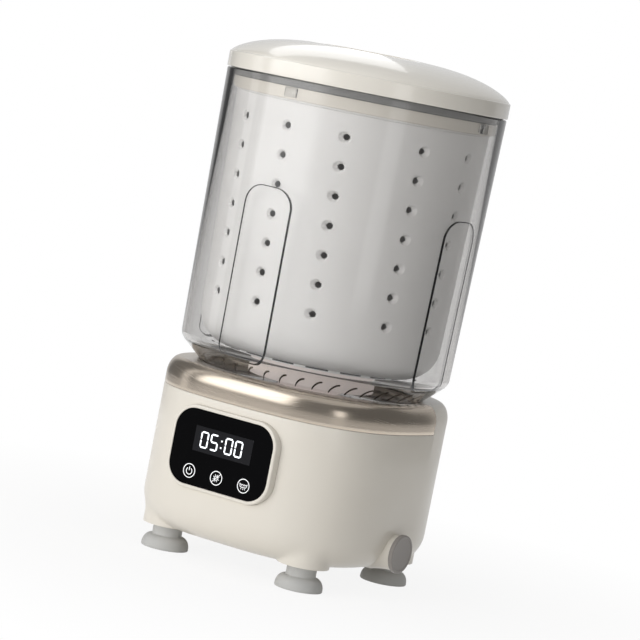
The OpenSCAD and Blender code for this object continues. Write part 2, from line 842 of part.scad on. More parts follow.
module shaft_seal() {
    color("#2b2b2d") translate([0, 0, seal_top - seal_h]) difference() {
        cylinder(r = bearing_r, h = seal_h);
        translate([0, 0, -1]) cylinder(r = shaft_r + run_fit, h = seal_h + 2);
        translate([0, 0, 2]) ring(bearing_r - 2, shaft_r + 1.5, seal_h);
    }
}

module motor_plate() {
    color("#a4a7aa") translate([0, 0, motor_top]) difference() {
        cylinder(r = motor_plate_r, h = motor_plate_t);
        translate([0, 0, -1]) cylinder(r = motor_bush_r + slack, h = 10);
        around(standoff_ring_r, face_angles) translate([0, 0, -1]) cylinder(r = 1.5, h = 10);
    }
}

module motor_standoffs() {
    h = z_seat - flange_t - motor_top - motor_plate_t;
    color("#c2a85a") around(standoff_ring_r, face_angles) translate([0, 0, motor_top + motor_plate_t]) {
        cylinder(r = standoff_r, h = h, $fn = 6);
        translate([0, 0, -motor_plate_t]) cylinder(r = 1.4, h = h + 2 * motor_plate_t);
    }
}

module motor_can() {
    color("#8c9094") translate([0, 0, motor_low]) difference() {
        cylinder(r = motor_r, h = motor_h);
        translate([0, 0, motor_wall]) cylinder(r = motor_r - motor_wall, h = motor_h);
        for (a = [30:60:330]) rotate([0, 0, a]) translate([motor_r / 2, -2, -1]) cube([motor_r / 3, 4, 4]);
    }
}

module motor_magnets() {
    out = motor_r - motor_wall - magnet_gap;
    color("#3c3f44") for (a = [0, 180]) intersection() {
        translate([0, 0, motor_low + magnet_rise]) ring(out, out - magnet_t, motor_h - magnet_short);
        sector(a, 70, motor_low, motor_h);
    }
}

module motor_bushes() {
    color("#b08d4c") {
        translate([0, 0, motor_low + motor_wall]) ring(motor_bush_r, motor_shaft_r + run_fit, 4);
        translate([0, 0, motor_top - 1.5]) ring(motor_bush_r, motor_shaft_r + run_fit, motor_plate_t + 1.5);
    }
}

module motor_rotor() {
    rotor_r = motor_r - motor_wall - magnet_gap - magnet_t - rotor_gap;
    slot_w = 2.4;
    color("#a86a3d") difference() {
        union() {
            translate([0, 0, motor_low + 8]) cylinder(r = rotor_r, h = motor_h - 18);
            translate([0, 0, motor_top - 9]) cylinder(r = 7, h = 6);
        }
        cylinder(r = motor_shaft_r, h = z_deck);
        for (a = [0:30:330]) rotate([0, 0, a])
            translate([rotor_r - 4, -slot_w / 2, motor_low + 7]) cube([6, slot_w, motor_h - 16]);
    }
}

module motor_shaft() {
    color("#c8cbce") translate([0, 0, motor_low + motor_wall + 0.5])
        cylinder(r = motor_shaft_r, h = shaft_split - motor_low - motor_wall - 1);
}

module shaft_coupling() {
    color("#9ea2a6") difference() {
        translate([0, 0, coupling_low]) cylinder(r = coupling_r, h = coupling_h);
        cylinder(r = motor_shaft_r, h = shaft_split + 1);
        translate([0, 0, shaft_split]) cylinder(r = shaft_r, h = coupling_h);
        for (z = [shaft_split - set_screw_up, shaft_split + set_screw_up])
            translate([0, 0, z]) rotate([0, 90, 0]) cylinder(r = set_screw_r, h = 2 * coupling_r);
    }
}

module drive_shaft() {
    color("#c8cbce") translate([0, 0, shaft_split + 0.2])
        cylinder(r = shaft_r, h = pulsator_top + cap_nut_h - 3 - shaft_split);
}

module shaft_clip() {
    color("#6f7377") translate([0, 0, housing_low - clip_t - 0.3]) ring(shaft_r + 2.5, shaft_r, clip_t);
}

module drum_hub() {
    boss_z = z_drum - hub_boss_drop;
    color("#c9c4c2") difference() {
        union() {
            translate([0, 0, z_drum - hub_skirt_h]) ring(hub_r, hub_r - hub_wall, hub_skirt_h);
            translate([0, 0, z_drum - hub_plate_t]) cylinder(r = hub_r, h = hub_plate_t);
            translate([0, 0, boss_z]) cylinder(r = hub_boss_r, h = hub_boss_drop);
            for (a = [0:60:300]) rotate([0, 0, a])
                translate([hub_boss_r - 1, -1, boss_z]) cube([hub_r - hub_boss_r - 1, 2, hub_boss_drop]);
        }
        cylinder(r = shaft_r, h = z_rim);
        around(hub_screw_ring, [30:60:330]) cylinder(r = 1.3, h = z_rim);
    }
}

// ---- drum ----

// The drum's outline from its floor to its rim, drawn in by d
function drum_outline(d) = concat(
    [for (a = [-90:15:0]) [drum_foot_r, z_drum + drum_round] + (drum_round - d) * [cos(a), sin(a)]],
    [[drum_top_r - d, z_drum_top]]);

module spin_drum() {
    color("#efefF1") difference() {
        union() {
            rotate_extrude() polygon(concat(
                [[shaft_r, z_drum + drum_floor_t], [shaft_r, z_drum]], drum_outline(0),
                [[drum_top_r - drum_wall, z_drum_top]],
                reversed([for (p = drum_outline(drum_wall))
                    if (p[0] > drum_foot_r + 3 && p[1] < z_drum_top) p]),
                [[drum_foot_r, z_drum + drum_floor_t]]));
            translate([0, 0, z_drum_top - lip_h]) ring(drum_top_r + lip_out, drum_top_r - drum_wall, lip_h);
            translate([0, 0, z_drum - drum_foot_h]) ring(drum_foot_r, drum_foot_r - 2.5, drum_foot_h + 1);
        }
        for (f = face_angles, side = [-1:1], k = [0:hole_rows - 1]) {
            z = z_drum + first_row + k * hole_pitch;
            r = drum_low_r + drum_draft * (z - z_drum - drum_round) / (z_drum_top - z_drum - drum_round);
            a = side * hole_spread;
            rotate([0, 0, f + hole_turn]) translate([r * cos(a) - 2 * drum_wall, r * sin(a), z])
                rotate([0, 90, 0]) cylinder(r = hole_r, h = 3 * drum_wall);
        }
        around(hub_screw_ring, [30:60:330]) cylinder(r = 1.8, h = z_rim);
    }
}

module hub_screws() {
    color("#8d8d8d") around(hub_screw_ring, [30:60:330])
        translate([0, 0, z_drum + drum_floor_t]) rotate([180, 0, 0])
            screw(screw_r, drum_floor_t + hub_plate_t - 0.5, 3, 1.8);
}

module pulsator() {
    z0 = z_drum + drum_floor_t + 0.05;
    shell_t = 2;
    color("#e4e4e8") difference() {
        union() {
            translate([0, 0, z0]) rotate_extrude() polygon(concat(
                [[0, 0], [pulsator_r, 0]],
                [for (a = [15:15:90]) [pulsator_r * cos(a), pulsator_h * sin(a)]]));
            translate([0, 0, z0 + 3]) for (i = [0:vane_count - 1]) rotate([0, 0, 360 * i / vane_count])
                translate([hub_boss_r, -1.6, 0]) cube([pulsator_r - hub_boss_r - 6, 3.2, vane_h]);
        }
        translate([0, 0, z0 - 1]) difference() {
            cylinder(r = pulsator_r - 8, h = pulsator_h - shell_t);
            cylinder(r = hub_boss_r, h = pulsator_h);
        }
        cylinder(r = shaft_r, h = z_rim);
    }
}

module cap_nut() {
    color("#c8cbce") translate([0, 0, pulsator_top + 0.1]) difference() {
        union() {
            cylinder(r = cap_nut_r, h = cap_nut_h - 3, $fn = 6);
            cylinder(r = cap_nut_r - 1.2, h = cap_nut_h);
        }
        translate([0, 0, -1]) cylinder(r = shaft_r, h = cap_nut_h - 1);
    }
}

// ---- lid ----

// Height of the lid's dome above its skirt's edge at radius r
function dome(r) = lid_skirt_h + (lid_h - lid_skirt_h) * pow(1 - pow(min(r / lid_dome_r, 1), 3.4), 0.77);

// The dome's outline from the centre to the skirt, drawn in by d
function dome_outline(d) = [for (i = [0:16]) let (r = (lid_dome_r - d) * sqrt(1 - pow(1 - i / 16, 2)))
    [r, dome(r * lid_dome_r / (lid_dome_r - d)) - d]];

// The lid's half section, drawn in by d, down to height low
function lid_section(d, low) = concat(
    [[0, low]], dome_outline(d), [[lid_r - d, lid_skirt_h - lid_crease - d], [lid_r - d, low]]);

module grip_pocket(grow) {
    for (s = [0, 180]) rotate([0, 0, s]) intersection() {
        translate([0, 0, lid_h - pocket_depth - grow]) cylinder(r = pocket_r + grow, h = lid_h);
        translate([-lid_r, grip_bar_half - grow, 0]) cube([2 * lid_r, lid_r, 2 * lid_h]);
    }
}

module lid_cover() {
    color("#edeae3") translate([0, 0, z_lid]) difference() {
        rotate_extrude() polygon(lid_section(0, 0));
        difference() {
            rotate_extrude() polygon(lid_section(lid_wall, -1));
            grip_pocket(lid_wall);
        }
        grip_pocket(0);
    }
}

module lid_liner() {
    color("#e6ddcf") {
        translate([0, 0, z_liner]) cylinder(r = lid_r - lid_wall - slack, h = liner_t);
        translate([0, 0, z_lid - liner_drop]) ring(liner_r, liner_r - liner_wall, liner_drop + liner_t);
    }
}

module lid_gasket() {
    color("#55565a") difference() {
        union() {
            translate([0, 0, z_rim - lid_gasket_drop])
                cylinder(r = lid_gasket_r, h = z_liner - z_rim + lid_gasket_drop - 0.05);
            translate([0, 0, z_rim + 0.2]) cylinder(r = lid_r - lid_wall - slack, h = z_liner - z_rim - 0.25);
        }
        cylinder(r = liner_r + 0.05, h = 2 * z_rim);
    }
}

// ---- drain ----

module drain_hose() {
    bore = outlet_r + 0.05;
    bend_x = outlet_ring + hose_bend;
    bend_z = drain_z + hose_bend;
    module run(r) {
        translate([outlet_ring, 0, bend_z]) cylinder(r = r, h = hose_top - bend_z);
        translate([bend_x, 0, bend_z]) rotate([90, 0, 0])
            rotate([0, 0, 180]) rotate_extrude(angle = 90) translate([hose_bend, 0]) circle(r);
        translate([bend_x, 0, drain_z]) rotate([0, 90, 0]) cylinder(r = r, h = hose_end - bend_x);
    }
    color("#7d7d80") difference() {
        run(outlet_r + hose_wall);
        run(bore);
        translate([outlet_ring, 0, hose_top - 4]) cylinder(r = bore, h = 10);
        translate([hose_end - 1, 0, drain_z]) rotate([0, 90, 0]) cylinder(r = bore, h = 10);
    }
}

module drain_hose_clips() {
    clip_r = outlet_r + hose_wall;
    color("#a9adb2") {
        translate([outlet_ring, 0, z_seat - 2 * hose_clip_w]) ring(clip_r + 1, clip_r, hose_clip_w);
        translate([spout_root - 1.5 * hose_clip_w, 0, drain_z]) rotate([0, 90, 0])
            ring(clip_r + 1, clip_r, hose_clip_w);
    }
}

module drain_cap() {
    color("#8b8987") translate([0, 0, drain_z]) rotate([0, 90, 0]) difference() {
        union() {
            translate([0, 0, drain_face - cap_t]) cylinder(r = cap_r, h = cap_t - 0.8);
            translate([0, 0, drain_face - 0.8]) cylinder(r1 = cap_r, r2 = cap_r - 0.8, h = 0.8);
            translate([0, 0, spout_face - plug_l]) cylinder(r = spout_bore - 0.4, h = plug_l + 1);
        }
        translate([0, 0, spout_face - 5]) ring(spout_bore + 1, spout_bore - 1.8, 2);
    }
}

module drain_seal() {
    color("#2b2b2d") translate([0, 0, drain_z]) rotate([0, 90, 0])
        translate([0, 0, spout_face - 4.9]) ring(spout_bore - run_fit, spout_bore - 1.75, 1.8);
}

base_shell();
trim_ring();
tub_seat();
seat_screws();
bottom_cover();
bottom_screws();
suction_feet();
foot_bolts();
panel_frame();
panel_glass();
timer_display();
timer_digits();
touch_pads();
control_board();
power_board();
board_parts();
power_jack();
jack_nut();
steriliser_lamp();
wiring();
outer_tub();
tub_gasket();
clamp_nut();
bearing_housing();
housing_screws();
upper_bearing();
lower_bearing();
shaft_seal();
motor_plate();
motor_standoffs();
motor_can();
motor_magnets();
motor_bushes();
drain_hose();
drain_hose_clips();
motor_rotor();
motor_shaft();
shaft_coupling();
drive_shaft();
shaft_clip();
drum_hub();
spin_drum();
hub_screws();
pulsator();
cap_nut();
lid_cover();
lid_liner();
lid_gasket();
drain_cap();
drain_seal();
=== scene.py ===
"""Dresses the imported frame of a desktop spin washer: clear tub, perforated drum and squarish motor base."""

from __future__ import annotations

import json
import logging
import math
from dataclasses import dataclass
from enum import Enum
from typing import Callable, Sequence

import bmesh
import bpy
from mathutils import Matrix, Vector

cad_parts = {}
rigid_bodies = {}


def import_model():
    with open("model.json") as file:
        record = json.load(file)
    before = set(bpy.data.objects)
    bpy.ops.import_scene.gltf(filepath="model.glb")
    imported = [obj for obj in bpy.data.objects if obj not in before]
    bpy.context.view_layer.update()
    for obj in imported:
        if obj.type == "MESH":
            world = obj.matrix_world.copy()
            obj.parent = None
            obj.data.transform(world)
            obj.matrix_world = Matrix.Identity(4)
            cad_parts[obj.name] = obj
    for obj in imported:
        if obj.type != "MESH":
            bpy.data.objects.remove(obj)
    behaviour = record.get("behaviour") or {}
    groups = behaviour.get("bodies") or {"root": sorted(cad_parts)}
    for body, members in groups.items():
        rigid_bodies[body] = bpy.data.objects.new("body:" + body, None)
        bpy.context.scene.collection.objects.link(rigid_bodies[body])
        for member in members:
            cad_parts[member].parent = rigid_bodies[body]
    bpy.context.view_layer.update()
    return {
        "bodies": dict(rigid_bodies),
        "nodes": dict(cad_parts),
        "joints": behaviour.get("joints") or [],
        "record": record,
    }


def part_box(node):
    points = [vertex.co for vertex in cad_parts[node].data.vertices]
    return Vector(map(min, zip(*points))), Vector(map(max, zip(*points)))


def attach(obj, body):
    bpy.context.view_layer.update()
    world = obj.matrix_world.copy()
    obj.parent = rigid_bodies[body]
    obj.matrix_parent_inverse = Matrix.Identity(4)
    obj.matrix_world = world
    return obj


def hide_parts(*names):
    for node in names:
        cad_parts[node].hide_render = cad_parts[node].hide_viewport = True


log = logging.getLogger("spin_washer")

MM = 0.001
TURN = 2 * math.pi
WELD = 1e-4
Point2 = tuple[float, float]
Corner = tuple[float, float, float]
Shape = bmesh.types.BMesh


class Body(Enum):
    """The bodies that a piece can ride on."""

    BASE = "base"
    DRUM = "drum"
    LID = "lid"
    DRAIN = "drain_plug"


class Cut(Enum):
    """How two closed shapes are combined."""

    JOIN = "UNION"
    TAKE = "DIFFERENCE"


# ---- finishes ----


def linear(colour: str) -> tuple[float, float, float, float]:
    """Turns an sRGB hex value to linear.

    Args:
        colour: A value such as "#e9e4da".

    Returns:
        Red, green, blue and an alpha of 1.
    """
    channels = (int(colour[i : i + 2], 16) / 255 for i in (1, 3, 5))
    return (*(c / 12.92 if c <= 0.04045 else ((c + 0.055) / 1.055) ** 2.4 for c in channels), 1.0)


def add_node(
    tree: bpy.types.NodeTree, kind: str, inputs: dict[str | int, object] | None = None, **settings: object
) -> bpy.types.Node:
    """Adds a node with its settings, values and links.

    Args:
        tree: The node tree that gets the node.
        kind: The node's type, such as ShaderNodeMath.
        inputs: Socket name or number to a value, or to the output that feeds it.
        settings: Properties of the node itself.

    Returns:
        The new node.
    """
    node = tree.nodes.new(kind)
    for key, value in settings.items():
        setattr(node, key, value)
    for key, value in (inputs or {}).items():
        if isinstance(value, bpy.types.NodeSocket):
            tree.links.new(value, node.inputs[key])
        else:
            node.inputs[key].default_value = value
    return node


def noise(
    tree: bpy.types.NodeTree, size_mm: float, stretch: Sequence[float] = (1, 1, 1), detail: float = 2.0
) -> bpy.types.NodeSocket:
    """Adds a noise on Object coordinates.

    Args:
        tree: The node tree.
        size_mm: Size of its grains in millimetres.
        stretch: How many times longer the grains are along X, Y and Z.
        detail: Octaves of finer noise.

    Returns:
        The noise's value, about 0.5 in the mean.
    """
    place = add_node(tree, "ShaderNodeTexCoord")
    scale = [1 / (size_mm * MM * s) for s in stretch]
    mapping = add_node(tree, "ShaderNodeMapping", {"Vector": place.outputs["Object"], "Scale": scale})
    pattern = add_node(
        tree, "ShaderNodeTexNoise", {"Vector": mapping.outputs["Vector"], "Scale": 1.0, "Detail": detail}
    )
    return pattern.outputs["Fac"]


def spread(
    tree: bpy.types.NodeTree, value: bpy.types.NodeSocket, low: float, high: float
) -> bpy.types.NodeSocket:
    """Maps a noise value to the range from low to high.

    Args:
        tree: The node tree.
        value: The noise's value.
        low: Result at a noise of 0.3.
        high: Result at a noise of 0.7.

    Returns:
        The mapped value.
    """
    node = add_node(
        tree,
        "ShaderNodeMapRange",
        {"Value": value, "From Min": 0.3, "From Max": 0.7, "To Min": low, "To Max": high},
    )
    return node.outputs["Result"]


def shades(
    tree: bpy.types.NodeTree, value: bpy.types.NodeSocket, first: str, second: str
) -> bpy.types.NodeSocket:
    """Mixes two hex colours by a value.

    Args:
        tree: The node tree.
        value: 0 gives the first colour and 1 the second.
        first: First colour.
        second: Second colour.

    Returns:
        The mixed colour.
    """
    mix = add_node(tree, "ShaderNodeMix", {0: value, 6: linear(first), 7: linear(second)}, data_type="RGBA")
    return mix.outputs[2]


def bump(tree: bpy.types.NodeTree, height: bpy.types.NodeSocket, depth_mm: float) -> bpy.types.NodeSocket:
    """Turns a height from 0 to 1 into a normal.

    Args:
        tree: The node tree.
        height: The pattern.
        depth_mm: Height of the pattern in millimetres.

    Returns:
        The bent normal.
    """
    node = add_node(tree, "ShaderNodeBump", {"Height": height, "Strength": 1.0, "Distance": depth_mm * MM})
    return node.outputs["Normal"]


@dataclass(frozen=True)
class Finish:
    """A surface, named for its stuff and how it was made.

    Attributes:
        name: The material's name.
        colour: Its main colour as an sRGB hex value.
        roughness: Its mean roughness.
    """

    name: str
    colour: str
    roughness: float = 0.4

    def material(self) -> bpy.types.Material:
        """Makes the material, or finds it if it was made before.

        Returns:
            The material.
        """
        made = bpy.data.materials.get(self.name)
        if made is not None:
            return made
        made = bpy.data.materials.new(self.name)
        made.use_nodes = True
        tree = made.node_tree
        tree.nodes.clear()
        output = add_node(tree, "ShaderNodeOutputMaterial")
        tree.links.new(self.surface(tree), output.inputs["Surface"])
        inside = self.inside(tree)
        if inside is not None:
            tree.links.new(inside, output.inputs["Volume"])
        return made

    def inside(self, tree: bpy.types.NodeTree) -> bpy.types.NodeSocket | None:
        """Builds the shader of the stuff below the surface, or returns None if light doesn't get there."""
        return None

    def surface(self, tree: bpy.types.NodeTree) -> bpy.types.NodeSocket:
        """Builds the shader and returns its output."""
        raise NotImplementedError


@dataclass(frozen=True)
class Moulded(Finish):
    """Moulded plastic or rubber: an even colour that drifts a little, over the tool's fine grain.

    Attributes:
        drift: The colour that the main one drifts to.
        grain_mm: Size of the tool's grain, drawn coarser than the real one so that it shows.
        grain_depth_mm: Its depth.
        gloss_drift: How far the roughness drifts up and down.
        coat: Weight of the polished skin that the mould leaves.
        coat_roughness: Roughness of that skin.
        mirror: Strength of the plain reflection, where 0.5 is a usual plastic.
        glow: Strength of the light that the surface gives: real on lit segments, a painted glow on parts that
            are no lamp.
    """

    drift: str = "#ffffff"
    grain_mm: float = 0.7
    grain_depth_mm: float = 0.004
    gloss_drift: float = 0.04
    coat: float = 0.0
    coat_roughness: float = 0.08
    mirror: float = 0.5
    glow: float = 0.0

    def surface(self, tree: bpy.types.NodeTree) -> bpy.types.NodeSocket:
        """Colour and gloss drift over some 40 mm, and the grain bends the light a little.

        Args:
            tree: The material's node tree.

        Returns:
            The shader's output.
        """
        slow = noise(tree, 40.0)
        smooth, rough = self.roughness - self.gloss_drift, self.roughness + self.gloss_drift
        shader = add_node(
            tree,
            "ShaderNodeBsdfPrincipled",
            {
                "Base Color": shades(tree, slow, self.colour, self.drift),
                "Roughness": spread(tree, slow, smooth, rough),
                "Normal": bump(tree, noise(tree, self.grain_mm), self.grain_depth_mm),
                "Coat Weight": self.coat,
                "Coat Roughness": self.coat_roughness,
                "Specular IOR Level": self.mirror,
                "Emission Color": linear(self.colour),
                "Emission Strength": self.glow,
            },
        )
        return shader.outputs["BSDF"]


@dataclass(frozen=True)
class Metal(Finish):
    """Bare metal with the marks of its making.

    Attributes:
        drift: The tint that the colour drifts to.
        mark_mm: Distance between the marks.
        stretch: How many times longer the marks are along X, Y and Z.
        mark_depth_mm: Depth of the marks.
    """

    drift: str = "#ffffff"
    mark_mm: float = 0.5
    stretch: tuple[float, float, float] = (1, 1, 1)
    mark_depth_mm: float = 0.002

    def surface(self, tree: bpy.types.NodeTree) -> bpy.types.NodeSocket:
        """The marks change the roughness and bend the light.

        Args:
            tree: The material's node tree.

        Returns:
            The shader's output.
        """
        marks = noise(tree, self.mark_mm, self.stretch, 3.0)
        shader = add_node(
            tree,
            "ShaderNodeBsdfPrincipled",
            {
                "Base Color": shades(tree, noise(tree, 25.0), self.colour, self.drift),
                "Metallic": 1.0,
                "Roughness": spread(tree, marks, self.roughness * 0.8, self.roughness * 1.2),
                "Normal": bump(tree, marks, self.mark_depth_mm),
            },
        )
        return shader.outputs["BSDF"]


@dataclass(frozen=True)
class BrushedRing(Finish):
    """Stainless sheet brushed around the ring: fine lines that follow its circumference.

    Attributes:
        drift: The tint that the colour drifts to.
        line_mm: Distance between the lines, a few times the real grit so that they show.
        line_depth_mm: Depth of the lines.
        along_per_m: How often a line changes along each metre of its length.
    """

    drift: str = "#ffffff"
    line_mm: float = 0.35
    line_depth_mm: float = 0.0004
    along_per_m: float = 30.0

    def surface(self, tree: bpy.types.NodeTree) -> bpy.types.NodeSocket:
        """The lines follow height and distance from the axis, so they run round every part of the bend.

        Args:
            tree: The material's node tree.

        Returns:
            The shader's output.
        """
        place = add_node(tree, "ShaderNodeTexCoord")
        split = add_node(tree, "ShaderNodeSeparateXYZ", {0: place.outputs["Object"]})
        flat = add_node(tree, "ShaderNodeCombineXYZ", {0: split.outputs[0], 1: split.outputs[1]})
        reach = add_node(tree, "ShaderNodeVectorMath", {0: flat.outputs[0]}, operation="LENGTH")
        across = add_node(
            tree, "ShaderNodeMath", {0: split.outputs[2], 1: reach.outputs["Value"]}, operation="SUBTRACT"
        )
        fine = add_node(
            tree, "ShaderNodeMath", {0: across.outputs[0], 1: 1 / (self.line_mm * MM)}, operation="MULTIPLY"
        )
        around = add_node(
            tree, "ShaderNodeVectorMath", {0: flat.outputs[0], "Scale": self.along_per_m}, operation="SCALE"
        )
        lines_at = add_node(tree, "ShaderNodeVectorMath", {0: around.outputs[0]}, operation="ADD")
        height = add_node(tree, "ShaderNodeCombineXYZ", {2: fine.outputs[0]})
        tree.links.new(height.outputs[0], lines_at.inputs[1])
        lines = add_node(
            tree, "ShaderNodeTexNoise", {"Vector": lines_at.outputs[0], "Scale": 1.0, "Detail": 2.0}
        )
        shader = add_node(
            tree,
            "ShaderNodeBsdfPrincipled",
            {
                "Base Color": shades(tree, lines.outputs["Fac"], self.colour, self.drift),
                "Metallic": 1.0,
                "Roughness": spread(tree, lines.outputs["Fac"], self.roughness * 0.8, self.roughness * 1.25),
                "Normal": bump(tree, lines.outputs["Fac"], self.line_depth_mm),
            },
        )
        return shader.outputs["BSDF"]


@dataclass(frozen=True)
class ClearMoulding(Finish):
    """Polished clear copolyester. Lamps reach what is behind it.

    Attributes:
        ior: Its refractive index.
        stain: Colour that a long way through it takes on.
        density: How much light a metre of it takes away.
    """

    ior: float = 1.5
    stain: str = "#b4aca4"
    density: float = 105.0

    def surface(self, tree: bpy.types.NodeTree) -> bpy.types.NodeSocket:
        """Glass for the eye, and tinted air for the lamps' shadow rays.

        Args:
            tree: The material's node tree.

        Returns:
            The shader's output.
        """
        glass = add_node(
            tree,
            "ShaderNodeBsdfPrincipled",
            {
                "Base Color": linear(self.colour),
                "Roughness": self.roughness,
                "IOR": self.ior,
                "Transmission Weight": 1.0,
            },
        )
        air = add_node(tree, "ShaderNodeBsdfTransparent", {"Color": linear(self.colour)})
        path = add_node(tree, "ShaderNodeLightPath")
        mix = add_node(
            tree,
            "ShaderNodeMixShader",
            {0: path.outputs["Is Shadow Ray"], 1: glass.outputs["BSDF"], 2: air.outputs["BSDF"]},
        )
        return mix.outputs["Shader"]

    def inside(self, tree: bpy.types.NodeTree) -> bpy.types.NodeSocket:
        """Takes a little light away along the way, so that edges look darker than walls.

        Args:
            tree: The material's node tree.

        Returns:
            The shader's output.
        """
        stuff = add_node(
            tree, "ShaderNodeVolumeAbsorption", {"Color": linear(self.stain), "Density": self.density}
        )
        return stuff.outputs["Volume"]


@dataclass(frozen=True)
class Circuit(Finish):
    """Solder mask over copper tracks that run along the board.

    Attributes:
        track: Colour of the mask over a track.
        track_mm: Distance between the tracks.
    """

    track: str = "#2f8a4e"
    track_mm: float = 2.0

    def surface(self, tree: bpy.types.NodeTree) -> bpy.types.NodeSocket:
        """A brick pattern on the board's plane gives the tracks.

        Args:
            tree: The material's node tree.

        Returns:
            The shader's output.
        """
        place = add_node(tree, "ShaderNodeTexCoord")
        turn = add_node(
            tree, "ShaderNodeMapping", {"Vector": place.outputs["Object"], "Rotation": (math.pi / 2, 0, 0)}
        )
        tracks = add_node(
            tree,
            "ShaderNodeTexBrick",
            {
                "Vector": turn.outputs["Vector"],
                "Color1": linear(self.colour),
                "Color2": linear(self.colour),
                "Mortar": linear(self.track),
                "Scale": 1.0,
                "Mortar Size": 0.15 * self.track_mm * MM,
                "Brick Width": 4 * self.track_mm * MM,
                "Row Height": self.track_mm * MM,
            },
        )
        shader = add_node(
            tree,
            "ShaderNodeBsdfPrincipled",
            {"Base Color": tracks.outputs["Color"], "Roughness": self.roughness},
        )
        return shader.outputs["BSDF"]


# Injection-moulded ABS, warm ivory: satin sides with soft highlights
IVORY = Moulded("abs_ivory_satin", "#e9e4da", 0.34, drift="#e5dfd4", coat=0.15)
# The same ABS from a polished mould: the lid mirrors the lamps
IVORY_GLOSS = Moulded("abs_ivory_polished", "#efebe2", 0.2, drift="#ece7dd", grain_depth_mm=0.0005, coat=0.8,
                      coat_roughness=0.03)
# Stainless sheet with a champagne tint, brushed around
STEEL_TRIM = BrushedRing("stainless_champagne_brushed", "#cfc4b6", 0.22, drift="#c4b8a9")
# The same sheet deep drawn: coarser lines and a softer mirror
STEEL_SEAT = BrushedRing("stainless_deep_drawn", "#c0b4a8", 0.4, drift="#b4a89c", line_mm=0.6)
# Clear copolyester, polished on both sides
CLEAR = ClearMoulding("copolyester_clear_polished", "#f6f7f8", 0.0)
# The same stuff seen edge on: the ribs get a painted smoky shade and the grip grooves a painted near-black
# shade, standing in for the light that bends away in them; the drum's slots share that painted shade
RIBS_PAINTED_SMOKY_SHADE = Moulded("copolyester_rib_painted_dark", "#3a332d", 0.15, drift="#4a4038")
GROOVES_PAINTED_SHADE = Moulded("painted_groove_and_slot_shade", "#17181a", 0.2, drift="#232427")
# Polypropylene, white with a cool cast: satin
DRUM_WHITE = Moulded("polypropylene_white_satin", "#f2f1ef", 0.38, drift="#edecea", grain_mm=1.2,
                     grain_depth_mm=0.002)
# The same plastic in a pinkish grey, with a painted glow that lifts it because it sits in the deepest shade
HUB_GREY_PAINTED_GLOW = Moulded("polypropylene_hub_grey_painted_glow", "#e0d6d2", 0.4, drift="#d8cfcb", glow=0.45)
# Back-painted glass: black, mirror smooth
PANEL_BLACK = Moulded("glass_back_painted_black", "#060607", 0.06, drift="#08080a", grain_depth_mm=0.0,
                      mirror=0.03)
# Dark filter film over the timer: a little lighter than the glass around it
DISPLAY_FILM = Moulded("filter_film_grey", "#1c1c1f", 0.25, drift="#202023", grain_depth_mm=0.0, mirror=0.1)
# White LED segments that give light of their own, and white ink with a painted glow that brightens the
# printed keys
LIT = Moulded("led_segment_lit", "#f2f6fa", 0.5, drift="#f6f9fc", glow=0.9)
PRINT_PAINTED_GLOW = Moulded("screen_print_white_painted_glow", "#f0f1f2", 0.5, drift="#e9eaec", glow=0.45)
# Thermoplastic rubber, mid grey and matte
CUP_RUBBER = Moulded("rubber_grey_matte", "#c8c8c6", 0.6, drift="#c0c0be", grain_mm=0.9, grain_depth_mm=0.01)
# Nitrile and silicone seals: dull, with a fine skin
SEAL_RUBBER = Moulded("rubber_nitrile_black", "#26262a", 0.55, drift="#2e2e32", grain_depth_mm=0.01)
GASKET_RUBBER = Moulded("silicone_mid_grey", "#8d8d8b", 0.45, drift="#7f7f7e", grain_depth_mm=0.008)
# Grey ABS cap, and the softer hose behind it
CAP_GREY = Moulded("abs_cap_grey", "#97928e", 0.36, drift="#918c88")
HOSE_GREY = Moulded("pvc_hose_grey", "#8a8a8d", 0.45, drift="#7f7f83", grain_depth_mm=0.01)
# Parts on the boards and around the motor
PART_BLACK = Moulded("phenolic_black", "#2b2b2e", 0.5, drift="#35353a")
FERRITE = Moulded("ferrite_sintered", "#3a3a3e", 0.7, drift="#46464b", grain_depth_mm=0.02)
LEAD_RED = Moulded("pvc_lead_red", "#b23a34", 0.4, drift="#a83630")
LAMP_WINDOW = Moulded("quartz_window_frosted", "#c9d6ee", 0.3, drift="#d5e0f4", coat=0.5)
FOAM = Moulded("foam_conductive", "#2c2c2e", 0.9, drift="#3a3a3d", grain_mm=0.5, grain_depth_mm=0.1)
# Solder mask over copper tracks
MASK_GREEN = Circuit("solder_mask_green", "#1f6b3a", 0.35)
# Plated, ground, cast and sintered metals: the marks run the way each was worked
ZINC = Metal("steel_zinc_plated", "#c3c5c7", 0.28, drift="#b4b7ba", mark_mm=1.5)
GROUND = Metal("steel_ground", "#c9cbce", 0.16, drift="#bfc2c6", mark_mm=0.4, stretch=(12, 12, 1))
CAST = Metal("aluminium_die_cast", "#b9bbbd", 0.45, drift="#a9abad", mark_mm=1.0, mark_depth_mm=0.02)
BRONZE = Metal("bronze_sintered", "#b08d4c", 0.4, drift="#a07f43", mark_mm=0.6, mark_depth_mm=0.01)
COPPER = Metal("copper_enamelled", "#b4703f", 0.3, drift="#a36338", mark_mm=0.8, stretch=(1, 1, 10))

